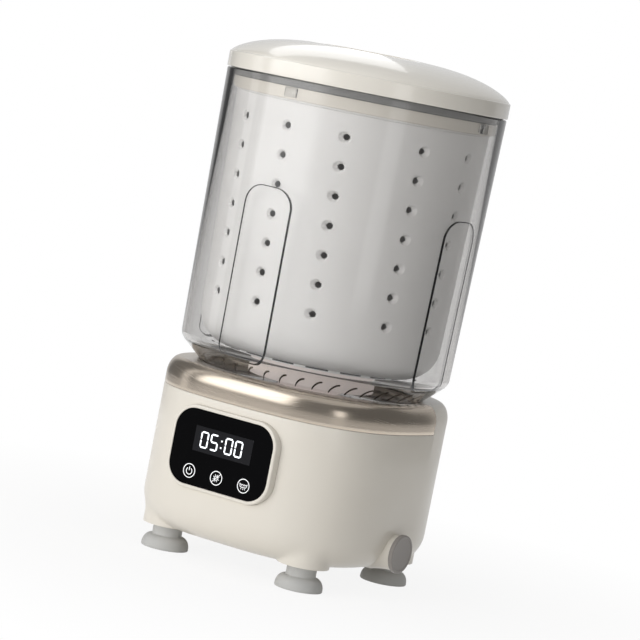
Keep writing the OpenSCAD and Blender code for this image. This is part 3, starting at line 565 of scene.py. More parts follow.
NODE_FINISHES: dict[str, Finish] = {
    "seat_screws": ZINC,
    "bottom_cover": IVORY,
    "bottom_screws": ZINC,
    "foot_bolts": ZINC,
    "panel_glass": PANEL_BLACK,
    "timer_display": DISPLAY_FILM,
    "touch_pads": FOAM,
    "control_board": MASK_GREEN,
    "power_board": MASK_GREEN,
    "board_parts": PART_BLACK,
    "power_jack": PART_BLACK,
    "jack_nut": ZINC,
    "steriliser_lamp": LAMP_WINDOW,
    "wiring": LEAD_RED,
    "tub_gasket": GASKET_RUBBER,
    # The clamp nut shares the hub's painted glow.
    "clamp_nut": HUB_GREY_PAINTED_GLOW,
    "bearing_housing": CAST,
    "housing_screws": ZINC,
    "upper_bearing": GROUND,
    "lower_bearing": GROUND,
    "shaft_seal": SEAL_RUBBER,
    "motor_plate": CAST,
    "motor_standoffs": ZINC,
    "motor_can": ZINC,
    "motor_magnets": FERRITE,
    "motor_bushes": BRONZE,
    "drain_hose": HOSE_GREY,
    "drain_hose_clips": ZINC,
    "motor_rotor": COPPER,
    "motor_shaft": GROUND,
    "shaft_coupling": CAST,
    "drive_shaft": GROUND,
    "shaft_clip": ZINC,
    "hub_screws": ZINC,
    "cap_nut": GROUND,
    "drain_seal": SEAL_RUBBER,
}


# ---- shapes, in millimetres ----


def weld(shape: Shape) -> Shape:
    """Joins points that meet and turns the faces of a closed shape outwards.

    Args:
        shape: The shape, changed in place.

    Returns:
        The same shape.
    """
    bmesh.ops.remove_doubles(shape, verts=shape.verts, dist=WELD)
    bmesh.ops.dissolve_degenerate(shape, dist=WELD, edges=shape.edges)
    bmesh.ops.recalc_face_normals(shape, faces=shape.faces)
    return shape


def eased(corners: Sequence[Corner], closed: bool = True, steps: int = 5) -> list[Point2]:
    """Rounds the corners of an outline.

    Args:
        corners: Across, up and rounding radius of each corner.
        closed: True if the last corner leads back to the first.
        steps: Points on each rounding, less one.

    Returns:
        The outline's points.
    """
    points: list[Point2] = []
    last = len(corners) - 1
    for i, (x, y, radius) in enumerate(corners):
        here = Vector((x, y))
        if radius <= 0 or (not closed and i in (0, last)):
            points.append((x, y))
            continue
        back = Vector(corners[i - 1][:2]) - here
        ahead = Vector(corners[(i + 1) % len(corners)][:2]) - here
        half = back.angle(ahead) / 2
        reach = min(radius / math.tan(half), 0.48 * back.length, 0.48 * ahead.length)
        centre = here + (back.normalized() + ahead.normalized()).normalized() * reach / math.cos(half)
        start = here + back.normalized() * reach - centre
        end = here + ahead.normalized() * reach - centre
        for k in range(steps + 1):
            arm = start.slerp(end, k / steps).normalized() * start.length
            points.append(tuple(centre + arm))
    return points


def turned(profile: Sequence[Point2], closed: bool = True, steps: int = 160) -> Shape:
    """Spins a profile about Z.

    Args:
        profile: Radius and height of each point.
        closed: True if the last point leads back to the first.
        steps: Steps of the full turn.

    Returns:
        A closed shape.
    """
    shape = bmesh.new()
    verts = [shape.verts.new((r, 0, z)) for r, z in profile]
    edges = [shape.edges.new(pair) for pair in zip(verts, verts[1:])]
    if closed:
        edges.append(shape.edges.new((verts[-1], verts[0])))
    bmesh.ops.spin(
        shape, geom=verts + edges, cent=(0, 0, 0), axis=(0, 0, 1), angle=TURN, steps=steps, use_merge=True
    )
    return weld(shape)


def rod(radius: float, low: float, high: float, steps: int) -> Shape:
    """A plain cylinder on the Z axis.

    Args:
        radius: Its radius.
        low: Height of its lower end.
        high: Height of its upper end.
        steps: Steps of the full turn.

    Returns:
        A closed cylinder.
    """
    return turned([(0, low), (radius, low), (radius, high), (0, high)], closed=False, steps=steps)


def sheet(columns: int, rows: int, place: Callable[[int, int], Vector]) -> Shape:
    """Lays a grid of faces on a surface.

    Args:
        columns: Faces along the first way.
        rows: Faces along the second way.
        place: Where the point of a column and a row lies.

    Returns:
        The surface, with points that meet not yet joined.
    """
    shape = bmesh.new()
    bmesh.ops.create_grid(shape, x_segments=columns, y_segments=rows, size=0.5)
    for vert in shape.verts:
        vert.co = place(round((vert.co.x + 0.5) * columns), round((vert.co.y + 0.5) * rows))
    return shape


def ring_of(outline: Callable[[float], Sequence[Point2]], profile: Sequence[Point2]) -> Shape:
    """Sweeps a closed profile around a closed outline on the XZ plane.

    Args:
        outline: Gives the outline's points at a distance outside its line, always as many.
        profile: Distance outside the outline and Y of each point.

    Returns:
        A closed ring.
    """
    loops = [outline(offset) for offset, _ in profile]
    count = len(loops[0])

    def place(column: int, row: int) -> Vector:
        """A point of the ring.

        Args:
            column: Step around or along.
            row: Step along the profile.

        Returns:
            The point.
        """
        x, z = loops[row % len(profile)][column % count]
        return Vector((x, profile[row % len(profile)][1], z))

    return weld(sheet(count, len(profile), place))


def plate_of(points: Sequence[Point2], front: float, thick: float) -> Shape:
    """A flat plate on the XZ plane.

    Args:
        points: Its outline.
        front: Y of its front.
        thick: How far it goes back from there.

    Returns:
        A closed plate.
    """
    shape = bmesh.new()
    face = shape.faces.new([shape.verts.new((x, front, z)) for x, z in points])
    grown = bmesh.ops.extrude_face_region(shape, geom=[face])["geom"]
    back = [part for part in grown if isinstance(part, bmesh.types.BMVert)]
    bmesh.ops.translate(shape, vec=(0, thick, 0), verts=back)
    bmesh.ops.recalc_face_normals(shape, faces=shape.faces)
    return shape


def block(size: Sequence[float], centre: Sequence[float], bevel: float, segments: int = 2) -> Shape:
    """A box with rounded edges.

    Args:
        size: Its length along X, Y and Z.
        centre: Its middle.
        bevel: Width of the rounding.
        segments: Steps of the rounding.

    Returns:
        A closed box.
    """
    shape = bmesh.new()
    bmesh.ops.create_cube(shape, size=1.0)
    bmesh.ops.scale(shape, vec=size, verts=shape.verts)
    bmesh.ops.bevel(
        shape, geom=shape.edges[:], offset=bevel, segments=segments, profile=0.5, affect="EDGES", material=-1
    )
    bmesh.ops.translate(shape, vec=centre, verts=shape.verts)
    return shape


def moved(shape: Shape, matrix: Matrix) -> Shape:
    """Turns or shifts a shape.

    Args:
        shape: The shape, changed in place.
        matrix: The turn or shift.

    Returns:
        The same shape.
    """
    bmesh.ops.transform(shape, matrix=matrix, verts=shape.verts)
    return shape


def gathered(shapes: Sequence[Shape]) -> Shape:
    """Puts separate shapes into one mesh.

    Args:
        shapes: The shapes, which are used up.

    Returns:
        One shape that holds them all.
    """
    whole = bmesh.new()
    for shape in shapes:
        scratch = bpy.data.meshes.new("scratch")
        shape.to_mesh(scratch)
        shape.free()
        whole.from_mesh(scratch)
        bpy.data.meshes.remove(scratch)
    return whole


def combined(shape: Shape, tool: Shape, cut: Cut) -> Shape:
    """Joins a closed shape with a tool, or takes the tool away from it.

    Args:
        shape: The shape, which is used up.
        tool: The tool, which is used up.
        cut: What is done.

    Returns:
        The new shape.
    """
    objects = []
    for part in (shape, tool):
        mesh = bpy.data.meshes.new("scratch")
        part.to_mesh(mesh)
        part.free()
        objects.append(bpy.data.objects.new("scratch", mesh))
        bpy.context.scene.collection.objects.link(objects[-1])
    modifier = objects[0].modifiers.new("cut", "BOOLEAN")
    modifier.operation = cut.value
    modifier.solver = "EXACT"
    modifier.object = objects[1]
    seen = objects[0].evaluated_get(bpy.context.evaluated_depsgraph_get())
    mesh = bpy.data.meshes.new_from_object(seen)
    result = bmesh.new()
    result.from_mesh(mesh)
    for part in objects:
        bpy.data.objects.remove(part)
    return result


def hung(
    name: str,
    shape: Shape,
    finish: Finish,
    body: Body,
    stands_for: Sequence[str] = (),
    crease: float = 32.0,
) -> bpy.types.Object:
    """Makes a shape a piece of the model.

    Args:
        name: The piece's name.
        shape: Its shape in millimetres, which is used up.
        finish: Its surface.
        body: The body that it rides on.
        stands_for: CAD nodes that it replaces.
        crease: Angle in degrees past which an edge is sharp.

    Returns:
        The piece's object.
    """
    bmesh.ops.scale(shape, vec=(MM, MM, MM), verts=shape.verts)
    mesh = bpy.data.meshes.new(name)
    shape.to_mesh(mesh)
    shape.free()
    mesh.materials.append(finish.material())
    for polygon in mesh.polygons:
        polygon.use_smooth = True
    mesh.set_sharp_from_angle(angle=math.radians(crease))
    piece = bpy.data.objects.new(name, mesh)
    bpy.context.scene.collection.objects.link(piece)
    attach(piece, body.value)
    if stands_for:
        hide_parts(*stands_for)
    log.info("%s: %d faces on %s", name, len(mesh.polygons), body.value)
    return piece


@dataclass(frozen=True)
class Span:
    """A CAD node's box in millimetres."""

    low: Vector
    high: Vector

    @classmethod
    def of(cls, node: str) -> Span:
        """Reads the box of a node."""
        low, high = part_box(node)
        return cls(low / MM, high / MM)


def blend_max(first: float, second: float, width: float) -> float:
    """The larger of two values, with a soft change from one to the other.

    Args:
        first: One value.
        second: The other value.
        width: Difference within which they blend.

    Returns:
        The soft maximum.
    """
    near = max(width - abs(first - second), 0) / width
    return max(first, second) + near * near * width / 4


# ---- base ----


@dataclass
class Housing:
    """The ivory shell of the base, its steel trim, the tub's seat and the suction feet."""

    squareness: float = 2.75
    round_r: float = 23.0
    wall: float = 2.6
    columns: int = 480
    trim_t: float = 0.8
    trim_gap: float = 0.15
    trim_end: float = 16.0
    trim_columns: int = 420
    band_h: float = 7.0
    shoulder_in: float = 8.0
    foot_ring: float = 77.0
    foot_turns: tuple[int, ...] = (45, 135, 225, 315)
    post_r: float = 17.5
    post_fade_z: float = 30.0
    post_top_z: float = 45.0
    post_blend: float = 3.0
    stem_r: float = 5.0
    stem_h: float = 10.0
    stem_fit: float = 0.15
    socket_r: float = 5.65
    socket_from: float = 70.0
    cup_r: float = 16.0
    neck_r: float = 10.0
    cup_h: float = 8.6
    spout_r: float = 12.0
    spout_bore: float = 8.5

    def __post_init__(self) -> None:
        """Reads the heights and radii that the frame settles."""
        shell = Span.of("base_shell")
        cap = Span.of("drain_cap")
        self.half = shell.high.y
        self.underside = shell.low.z
        self.deck = shell.high.z
        self.band_z = Span.of("trim_ring").low.z - self.trim_gap
        self.shoulder_z = self.band_z + self.band_h
        self.seat = Span.of("tub_seat")
        self.opening_r = self.seat.high.x + 0.2
        self.cover_r = Span.of("bottom_cover").high.x
        self.spout_z = (cap.low.z + cap.high.z) / 2
        self.spout_face = shell.high.x

    def wall_r(self, angle: float) -> float:
        """Distance of the side wall from the axis.

        Args:
            angle: Plan angle in degrees.

        Returns:
            The distance.
        """
        across = abs(math.cos(math.radians(angle))) ** self.squareness
        along = abs(math.sin(math.radians(angle))) ** self.squareness
        return self.half / (across + along) ** (1 / self.squareness)

    def post_reach(self, angle: float, height: float) -> float:
        """How far the nearest foot's post reaches from the axis.

        Args:
            angle: Plan angle in degrees.
            height: Height above the ground.

        Returns:
            The distance.
        """
        off = math.radians((angle % 90) - 45)
        along, aside = self.foot_ring * math.cos(off), abs(self.foot_ring * math.sin(off))
        fade = 2 * max(height - self.post_fade_z, 0)
        if aside < self.post_r:
            return along + math.sqrt(self.post_r**2 - aside**2) - fade
        return along - 4 * (aside - self.post_r) - fade

    def has_trim(self, angle: float) -> bool:
        """True where the steel trim covers the wall."""
        return angle > 180 - self.trim_end or angle < self.trim_end

    def angles(self) -> list[float]:
        """Plan angles of the wall's columns, with a close pair at each end of the trim.

        Returns:
            The angles in degrees.
        """
        even = [360 * i / self.columns for i in range(self.columns)]
        ends = [a + d for a in (self.trim_end, 180 - self.trim_end) for d in (-0.03, 0.03)]
        return sorted(even + ends)

    def outer_levels(self) -> list[tuple[float, float, float, float]]:
        """The wall's outer levels from the underside up.

        Returns:
            Inset and height of each level, first bare and then under the trim.
        """
        bend = self.round_r
        turns = [math.radians(5 * i) for i in range(1, 19)]
        levels = [(bend * (1 - math.sin(t)), self.underside + bend * (1 - math.cos(t))) for t in turns]
        levels += [(0, 60), (0, 85), (0, self.band_z - 0.5)]
        both = [(inset, z, inset, z) for inset, z in levels]
        core = self.trim_t + self.trim_gap
        both.append((0, self.band_z - 0.2, 0.1, self.band_z - 0.15))
        both.append((0, self.band_z - 0.1, 0.35, self.band_z))
        both.append((0, self.band_z, core, self.band_z + 0.02))
        both.append((0, self.shoulder_z, core, self.shoulder_z))
        rise = self.deck - self.shoulder_z
        for i in range(1, 13):
            turn = math.radians(7.5 * i)
            inset = self.shoulder_in * (1 - math.cos(turn))
            bare_z = self.shoulder_z + rise * math.sin(turn)
            both.append((inset, bare_z, core + inset, self.shoulder_z + (rise - core) * math.sin(turn)))
        return both

    def shell(self) -> Shape:
        """The shell's wall, underside and foot posts as one skin.

        Returns:
            A closed shell.
        """
        angles = self.angles()
        outer = self.outer_levels()
        inner = [
            (self.shoulder_in + self.wall, self.deck - self.wall - 1),
            (self.wall + 1, self.shoulder_z),
            (self.wall, self.band_z - 6),
            (self.wall, self.underside + self.round_r),
            (self.wall + 5, self.underside + 10),
            (self.wall + 14, self.underside + 4),
        ]
        rim = self.underside + self.wall
        hole = self.cover_r + 0.15
        below = [(50.0, rim + 3.4), (50.0, rim + 0.1), (hole, rim + 0.1), (hole, self.underside + 0.3)]
        below.append((hole + 0.3, self.underside))
        above = [(self.opening_r + 0.3, 0.0), (self.opening_r, 0.3)]
        above.append((self.opening_r, self.deck - self.seat.low.z))
        foot = [(0.8, 0.0), (0.12, 0.3)]
        first = len(below) + len(foot)
        second = first + len(outer)
        third = second + len(above)
        rows = third + len(inner)
        core = self.trim_t + self.trim_gap

        def place(column: int, row: int) -> Vector:
            """A point of the skin.

            Args:
                column: Step around or along.
                row: Step along the profile.

            Returns:
                The point.
            """
            angle = angles[column % len(angles)]
            wall_r = self.wall_r(angle)
            row %= rows
            if row < len(below):
                radius, z = below[row]
            elif row < first:
                inset, up = foot[row - len(below)]
                body = wall_r - self.round_r
                post = self.post_reach(angle, self.underside)
                share = min(max((post - body) / self.post_blend, 0), 1)
                radius, z = blend_max(body, post, self.post_blend) - inset, self.underside + up * share
            elif row < second:
                bare_in, bare_z, core_in, core_z = outer[row - first]
                inset, z = (core_in, core_z) if self.has_trim(angle) else (bare_in, bare_z)
                radius = wall_r - inset
                if z < self.post_top_z:
                    radius = blend_max(radius, self.post_reach(angle, z), self.post_blend)
            elif row < third:
                radius, drop = above[row - second]
                z = max(self.deck - drop - (core if self.has_trim(angle) else 0), self.seat.low.z)
            else:
                inset, z = inner[row - third]
                radius = wall_r - inset
            turn = math.radians(angle)
            return Vector((radius * math.cos(turn), radius * math.sin(turn), z))

        return weld(sheet(len(angles), rows, place))

    def spout(self) -> Shape:
        """The drain's boss with its flared root, along X.

        Returns:
            A closed boss.
        """
        root, face = self.half - 14, self.spout_face
        flare = [(root + 1.5 * i, self.spout_r + 2.6 * max(1 - i / 9, 0) ** 1.6) for i in range(10)]
        profile = [(0.0, root - 4), (14.6, root - 4)]
        profile += [(r, x) for x, r in flare]
        profile += [(self.spout_r, face - 0.5), (self.spout_r - 0.15, face - 0.15)]
        profile += [(self.spout_r - 0.5, face), (0.0, face)]
        return self.on_x(turned(profile, closed=False, steps=72))

    def on_x(self, shape: Shape) -> Shape:
        """Lays a shape that was turned about Z along the drain's axis."""
        lay = Matrix.Translation((0, 0, self.spout_z)) @ Matrix.Rotation(math.pi / 2, 4, "Y")
        return moved(shape, lay)

    def at_feet(self, make: Callable[[], Shape]) -> list[Shape]:
        """Puts a shape at each foot.

        Args:
            make: Makes the shape on the axis.

        Returns:
            One shape for each foot.
        """
        out = Matrix.Translation((self.foot_ring, 0, 0))
        return [moved(make(), Matrix.Rotation(math.radians(turn), 4, "Z") @ out) for turn in self.foot_turns]

    def stem_bore(self) -> Shape:
        """The bore that a foot's stem is pushed into, on the axis."""
        return rod(self.stem_r + self.stem_fit, self.underside - 2, self.underside + self.stem_h + 1, 48)

    def bores(self, panel_cut: Shape) -> Shape:
        """Everything that is cut out of the shell: panel, drain, power socket and stems.

        Args:
            panel_cut: The panel's opening, which is used up.

        Returns:
            The tools in one shape.
        """
        drain = rod(self.spout_bore, self.spout_face - 10, 110, 64)
        jack = Span.of("power_jack")
        socket = rod(self.socket_r, 0, 40, 64)
        place = Matrix.Translation((0, self.socket_from, (jack.low.z + jack.high.z) / 2))
        socket = moved(socket, place @ Matrix.Rotation(-math.pi / 2, 4, "X"))
        return gathered([panel_cut, self.on_x(drain), socket, *self.at_feet(self.stem_bore)])

    def trim(self) -> Shape:
        """The steel trim as a strip that wraps the front and the sides, bent over at the shoulder.

        Returns:
            An open strip.
        """
        start, end = 180 - self.trim_end + 0.1, 360 + self.trim_end - 0.1
        rise = self.deck - self.shoulder_z
        low = self.band_z + self.trim_gap
        profile = [(0.25, low), (0.07, low + 0.08), (0, low + 0.3), (0, low + 2.4), (0, low + 4.6)]
        for i in range(15):
            turn = math.radians(90 * i / 14)
            profile.append((self.shoulder_in * (1 - math.cos(turn)), self.shoulder_z + rise * math.sin(turn)))
        inner_edge = [(self.opening_r + 0.4, self.deck), (self.opening_r, self.deck - 0.25)]

        def place(column: int, row: int) -> Vector:
            """A point of the strip.

            Args:
                column: Step around or along.
                row: Step along the profile.

            Returns:
                The point.
            """
            angle = start + (end - start) * column / self.trim_columns
            turn = math.radians(angle)
            if row < len(profile):
                inset, z = profile[row]
                radius = self.wall_r(angle) - inset
            else:
                radius, z = inner_edge[row - len(profile)]
            return Vector((radius * math.cos(turn), radius * math.sin(turn), z))

        return sheet(self.trim_columns, len(profile) + 1, place)

    def cup(self) -> Shape:
        """One suction foot: a short neck on a domed cup with a hollow underneath.

        Returns:
            A closed foot on the axis.
        """
        dome = [(self.neck_r + 0.3 + 5.7 * math.sin(math.radians(10 * i)),
                 1.3 + (self.cup_h - 1.3) * math.cos(math.radians(10 * i))) for i in range(1, 10)]
        profile = [(0, 3.4), (self.cup_r * 0.5, 3), (self.cup_r - 2.0, 0.7), (self.cup_r - 1.2, 0.1),
                   (self.cup_r - 0.8, 0), (self.cup_r - 0.25, 0.1), (self.cup_r, 0.5)]
        profile += reversed(dome)
        profile += [(self.neck_r + 0.35, self.cup_h + 0.05), (self.neck_r, self.cup_h + 0.4)]
        profile += [(self.neck_r, self.underside - 0.4), (self.neck_r - 0.4, self.underside - 0.02)]
        profile += [(self.stem_r, self.underside - 0.02), (self.stem_r, self.underside + self.stem_h)]
        profile.append((0, self.underside + self.stem_h))
        return turned(profile, closed=False, steps=96)

    def build(self, panel_cut: Shape) -> None:
        """Builds and dresses the pieces.

        Args:
            panel_cut: The shape that the panel's frame needs cut out of the shell.
        """
        shell = combined(self.shell(), self.spout(), Cut.JOIN)
        shell = combined(shell, self.bores(panel_cut), Cut.TAKE)
        hung("base_housing", shell, IVORY, Body.BASE, ["base_shell"])
        trim = hung("steel_trim", self.trim(), STEEL_TRIM, Body.BASE, ["trim_ring"], 60)
        sheet_metal = trim.modifiers.new("thickness", "SOLIDIFY")
        sheet_metal.thickness = self.trim_t * MM
        sheet_metal.offset = -1
        low, high, out = self.seat.low.z, self.seat.high.z, self.seat.high.x
        seat = turned(eased([(14.2, low, 0), (out, low, 1.5), (out, high, 0.5), (out - 1.2, high, 0.5),
                             (out - 1.2, low + 3, 1.2), (14.2, low + 3, 0)]), steps=192)
        hung("tub_cradle", seat, STEEL_SEAT, Body.BASE, ["tub_seat"])
        cups = gathered(self.at_feet(self.cup))
        hung("suction_cups", cups, CUP_RUBBER, Body.BASE, ["suction_feet"])


# ---- control panel ----


@dataclass
class Panel:
    """The raised frame around the black glass, the lit timer and the printed keys."""

    border: float = 2.5
    corner_r: float = 14.0
    corner_steps: int = 14
    flange: float = 3.0
    flange_t: float = 2.0
    depth: float = 11.0
    cut_depth: float = 17.0
    cut_fit: float = 0.15
    ink_t: float = 0.08
    bar_t: float = 0.1
    digit_h: float = 11.0
    key_r: float = 4.75
    key_pitch: float = 21.7
    keys_down: float = 16.0
    stroke: float = 0.5

    def __post_init__(self) -> None:
        """Reads where the frame and the glass lie."""
        frame = Span.of("panel_frame")
        glass = Span.of("panel_glass")
        lit = Span.of("timer_digits")
        self.front = frame.low.y
        self.glass_front = glass.low.y
        self.width = glass.high.x - glass.low.x
        self.height = glass.high.z - glass.low.z
        self.centre_x = (glass.low.x + glass.high.x) / 2
        self.centre_z = (glass.low.z + glass.high.z) / 2
        self.digits_x = (lit.low.x + lit.high.x) / 2
        self.digits_z = (lit.low.z + lit.high.z) / 2

    def outline(self, offset: float) -> list[Point2]:
        """The glass's outline.

        Args:
            offset: How much it is grown.

        Returns:
            The outline's points.
        """
        radius = self.corner_r + offset
        half_w, half_h = self.width / 2 - self.corner_r, self.height / 2 - self.corner_r
        points = []
        for quarter, (sx, sz) in enumerate(((1, 1), (-1, 1), (-1, -1), (1, -1))):
            for i in range(self.corner_steps + 1):
                turn = math.pi / 2 * (quarter + i / self.corner_steps)
                points.append((self.centre_x + sx * half_w + radius * math.cos(turn),
                               self.centre_z + sz * half_h + radius * math.sin(turn)))
        return points

    def cut(self) -> Shape:
        """The opening that the frame needs in the shell."""
        return plate_of(self.outline(self.border + self.cut_fit), self.front - 3, self.cut_depth)

    def frame(self) -> Shape:
        """The frame: a rounded border in front and a flange behind the wall.

        Returns:
            A closed ring.
        """
        front, rear = self.front, self.front + self.depth
        ledge, behind = front + 2.0, rear + self.flange_t
        wide = self.border + self.flange
        profile = [(-4.5, behind, 0), (-4.5, ledge, 0), (0.2, ledge, 0), (0.2, front, 0.35)]
        profile += [(self.border, front, 1.3), (self.border, rear, 0), (wide, rear, 0), (wide, behind, 0)]
        return ring_of(self.outline, eased(profile))

    def bar(self, x: float, z: float, length: float, thick: float, upright: bool) -> Shape:
        """One lit bar with pointed ends.

        Args:
            x: Across its middle.
            z: Up to its middle.
            length: Its length.
            thick: Its width.
            upright: True if it stands.

        Returns:
            A thin plate.
        """
        half, tip = length / 2, thick / 2
        points = [(-half, 0), (-half + tip, -tip), (half - tip, -tip)]
        points += [(-a, -b) for a, b in points]
        if upright:
            points = [(-b, a) for a, b in points]
        return plate_of([(x + a, z + b) for a, b in points], self.glass_front - self.bar_t, self.bar_t)

    def digits(self) -> Shape:
        """05:00 in seven-segment bars, and the colon's two dots.

        Returns:
            The bars in one shape.
        """
        high, thick, gap = self.digit_h, 0.095 * self.digit_h, 0.3
        wide, step, colon = 0.56 * high, 0.71 * high, 0.34 * high
        side, half = (wide - thick) / 2, (high - thick) / 2
        upper = [(-side, half / 2, half - gap, True), (side, half / 2, half - gap, True)]
        lower = [(-side, -half / 2, half - gap, True), (side, -half / 2, half - gap, True)]
        flat = [(0, k * half, 2 * side - gap, False) for k in (1, 0, -1)]
        zero = upper + lower + [flat[0], flat[2]]
        five = flat + [upper[0], lower[1]]
        first = self.digits_x - 1.5 * step - colon / 2
        places = [(zero, first), (five, first + step), (zero, first + 2 * step + colon),
                  (zero, first + 3 * step + colon)]
        bars = [self.bar(at + x, self.digits_z + z, length, thick, up) for digit, at in places
                for x, z, length, up in digit]
        for side_z in (-1, 1):
            dot = [(self.digits_x + thick * 0.5 * sx, self.digits_z + side_z * high / 5 + thick * 0.5 * sz)
                   for sx, sz in ((-1, -1), (1, -1), (1, 1), (-1, 1))]
            bars.append(plate_of(dot, self.glass_front - self.bar_t, self.bar_t))
        return gathered(bars)

    def ribbon(self, path: Sequence[Point2], closed: bool = False, width: float | None = None) -> Shape:
        """A printed stroke along a path on the glass.

        Args:
            path: The stroke's middle.
            closed: True if it runs back to its start.
            width: Its width, or None for the usual stroke.

        Returns:
            A thin closed ribbon.
        """
        half = (width or self.stroke) / 2
        count = len(path)
        sides: tuple[list[Point2], list[Point2]] = ([], [])
        for i, (x, z) in enumerate(path):
            before = path[i - 1] if closed or i > 0 else path[0]
            after = path[(i + 1) % count] if closed or i < count - 1 else path[-1]
            along = Vector((after[0] - before[0], after[1] - before[1])).normalized()
            sides[0].append((x - along.y * half, z + along.x * half))
            sides[1].append((x + along.y * half, z - along.x * half))
        if not closed:
            return plate_of(sides[0] + sides[1][::-1], self.glass_front - self.ink_t, self.ink_t)
        loops = (sides[0], sides[1], sides[1], sides[0])
        depths = (-self.ink_t, -self.ink_t, 0.0, 0.0)

        def place(column: int, row: int) -> Vector:
            """A point of the ribbon.

            Args:
                column: Step around or along.
                row: Step along the profile.

            Returns:
                The point.
            """
            x, z = loops[row % 4][column % count]
            return Vector((x, self.glass_front + depths[row % 4], z))

        return weld(sheet(count, 4, place))

    def arc(
        self, x: float, z: float, radius: float, start: float, end: float, steps: int = 40
    ) -> list[Point2]:
        """Points on a circle's arc, from one angle in degrees to another."""
        turns = [math.radians(start + (end - start) * i / steps) for i in range(steps + 1)]
        return [(x + radius * math.cos(t), z + radius * math.sin(t)) for t in turns]

    def key_ring(self, x: float, z: float) -> Shape:
        """The circle around a key's picture."""
        return self.ribbon(self.arc(x, z, self.key_r - self.stroke / 2, 0, 360)[:-1], closed=True)

    def power_picture(self, x: float, z: float) -> list[Shape]:
        """An open circle with a bar in its gap."""
        return [self.ribbon(self.arc(x, z - 0.2, 2.2, 125, 415)), self.ribbon([(x, z + 0.2), (x, z + 2.7)])]

    def germ_picture(self, x: float, z: float) -> list[Shape]:
        """A spiked germ with a line through it.

        Args:
            x: Across the key's middle.
            z: Up to the key's middle.

        Returns:
            Its strokes.
        """
        shapes = [self.ribbon(self.arc(x, z, 1.35, 0, 360)[:-1], closed=True, width=0.4)]
        for i in range(8):
            turn = math.radians(22.5 + 45 * i)
            shapes.append(self.ribbon([(x + r * math.cos(turn), z + r * math.sin(turn)) for r in (1.7, 2.6)],
                                      width=0.34))
        shapes.append(self.ribbon([(x - 0.45, z + 0.25), (x - 0.1, z + 0.25)], width=0.35))
        shapes.append(self.ribbon([(x + 0.2, z - 0.4), (x + 0.55, z - 0.4)], width=0.35))
        reach = (self.key_r - self.stroke) * math.sqrt(0.5)
        shapes.append(self.ribbon([(x - reach, z - reach), (x + reach, z + reach)], width=0.42))
        return shapes

    def basin_picture(self, x: float, z: float) -> list[Shape]:
        """A basin with drops leaving it.

        Args:
            x: Across the key's middle.
            z: Up to the key's middle.

        Returns:
            Its strokes.
        """
        corners = [(-2.9, 1.5, 0), (-2.3, -1.0, 0.9), (2.3, -1.0, 0.9), (2.9, 1.5, 0)]
        basin = eased([(x + a, z + b, radius) for a, b, radius in corners], closed=False)
        wave = [(x - 2.4 + 0.3 * i, z + 0.75 + 0.28 * math.sin(1.3 * i)) for i in range(17)]
        shapes = [self.ribbon(basin, width=0.42), self.ribbon(wave, width=0.34)]
        for apart, top, low, width in ((1.5, -1.7, -2.4, 0.45), (1.3, 0.1, -0.35, 0.4)):
            for aside in (-apart, 0, apart):
                shapes.append(self.ribbon([(x + aside, z + top), (x + aside, z + low)], width=width))
        return shapes

    def build(self) -> None:
        """Builds and dresses the pieces."""
        hung("panel_surround", self.frame(), IVORY, Body.BASE, ["panel_frame"])
        hung("timer_segments", self.digits(), LIT, Body.BASE, ["timer_digits"])
        z = self.centre_z - self.keys_down
        pictures = {-1: self.power_picture, 0: self.germ_picture, 1: self.basin_picture}
        prints = []
        for place, picture in pictures.items():
            x = self.centre_x + place * self.key_pitch
            prints += [self.key_ring(x, z), *picture(x, z)]
        # The printed keys carry a painted glow.
        hung("key_prints", gathered(prints), PRINT_PAINTED_GLOW, Body.BASE)


# ---- tub ----


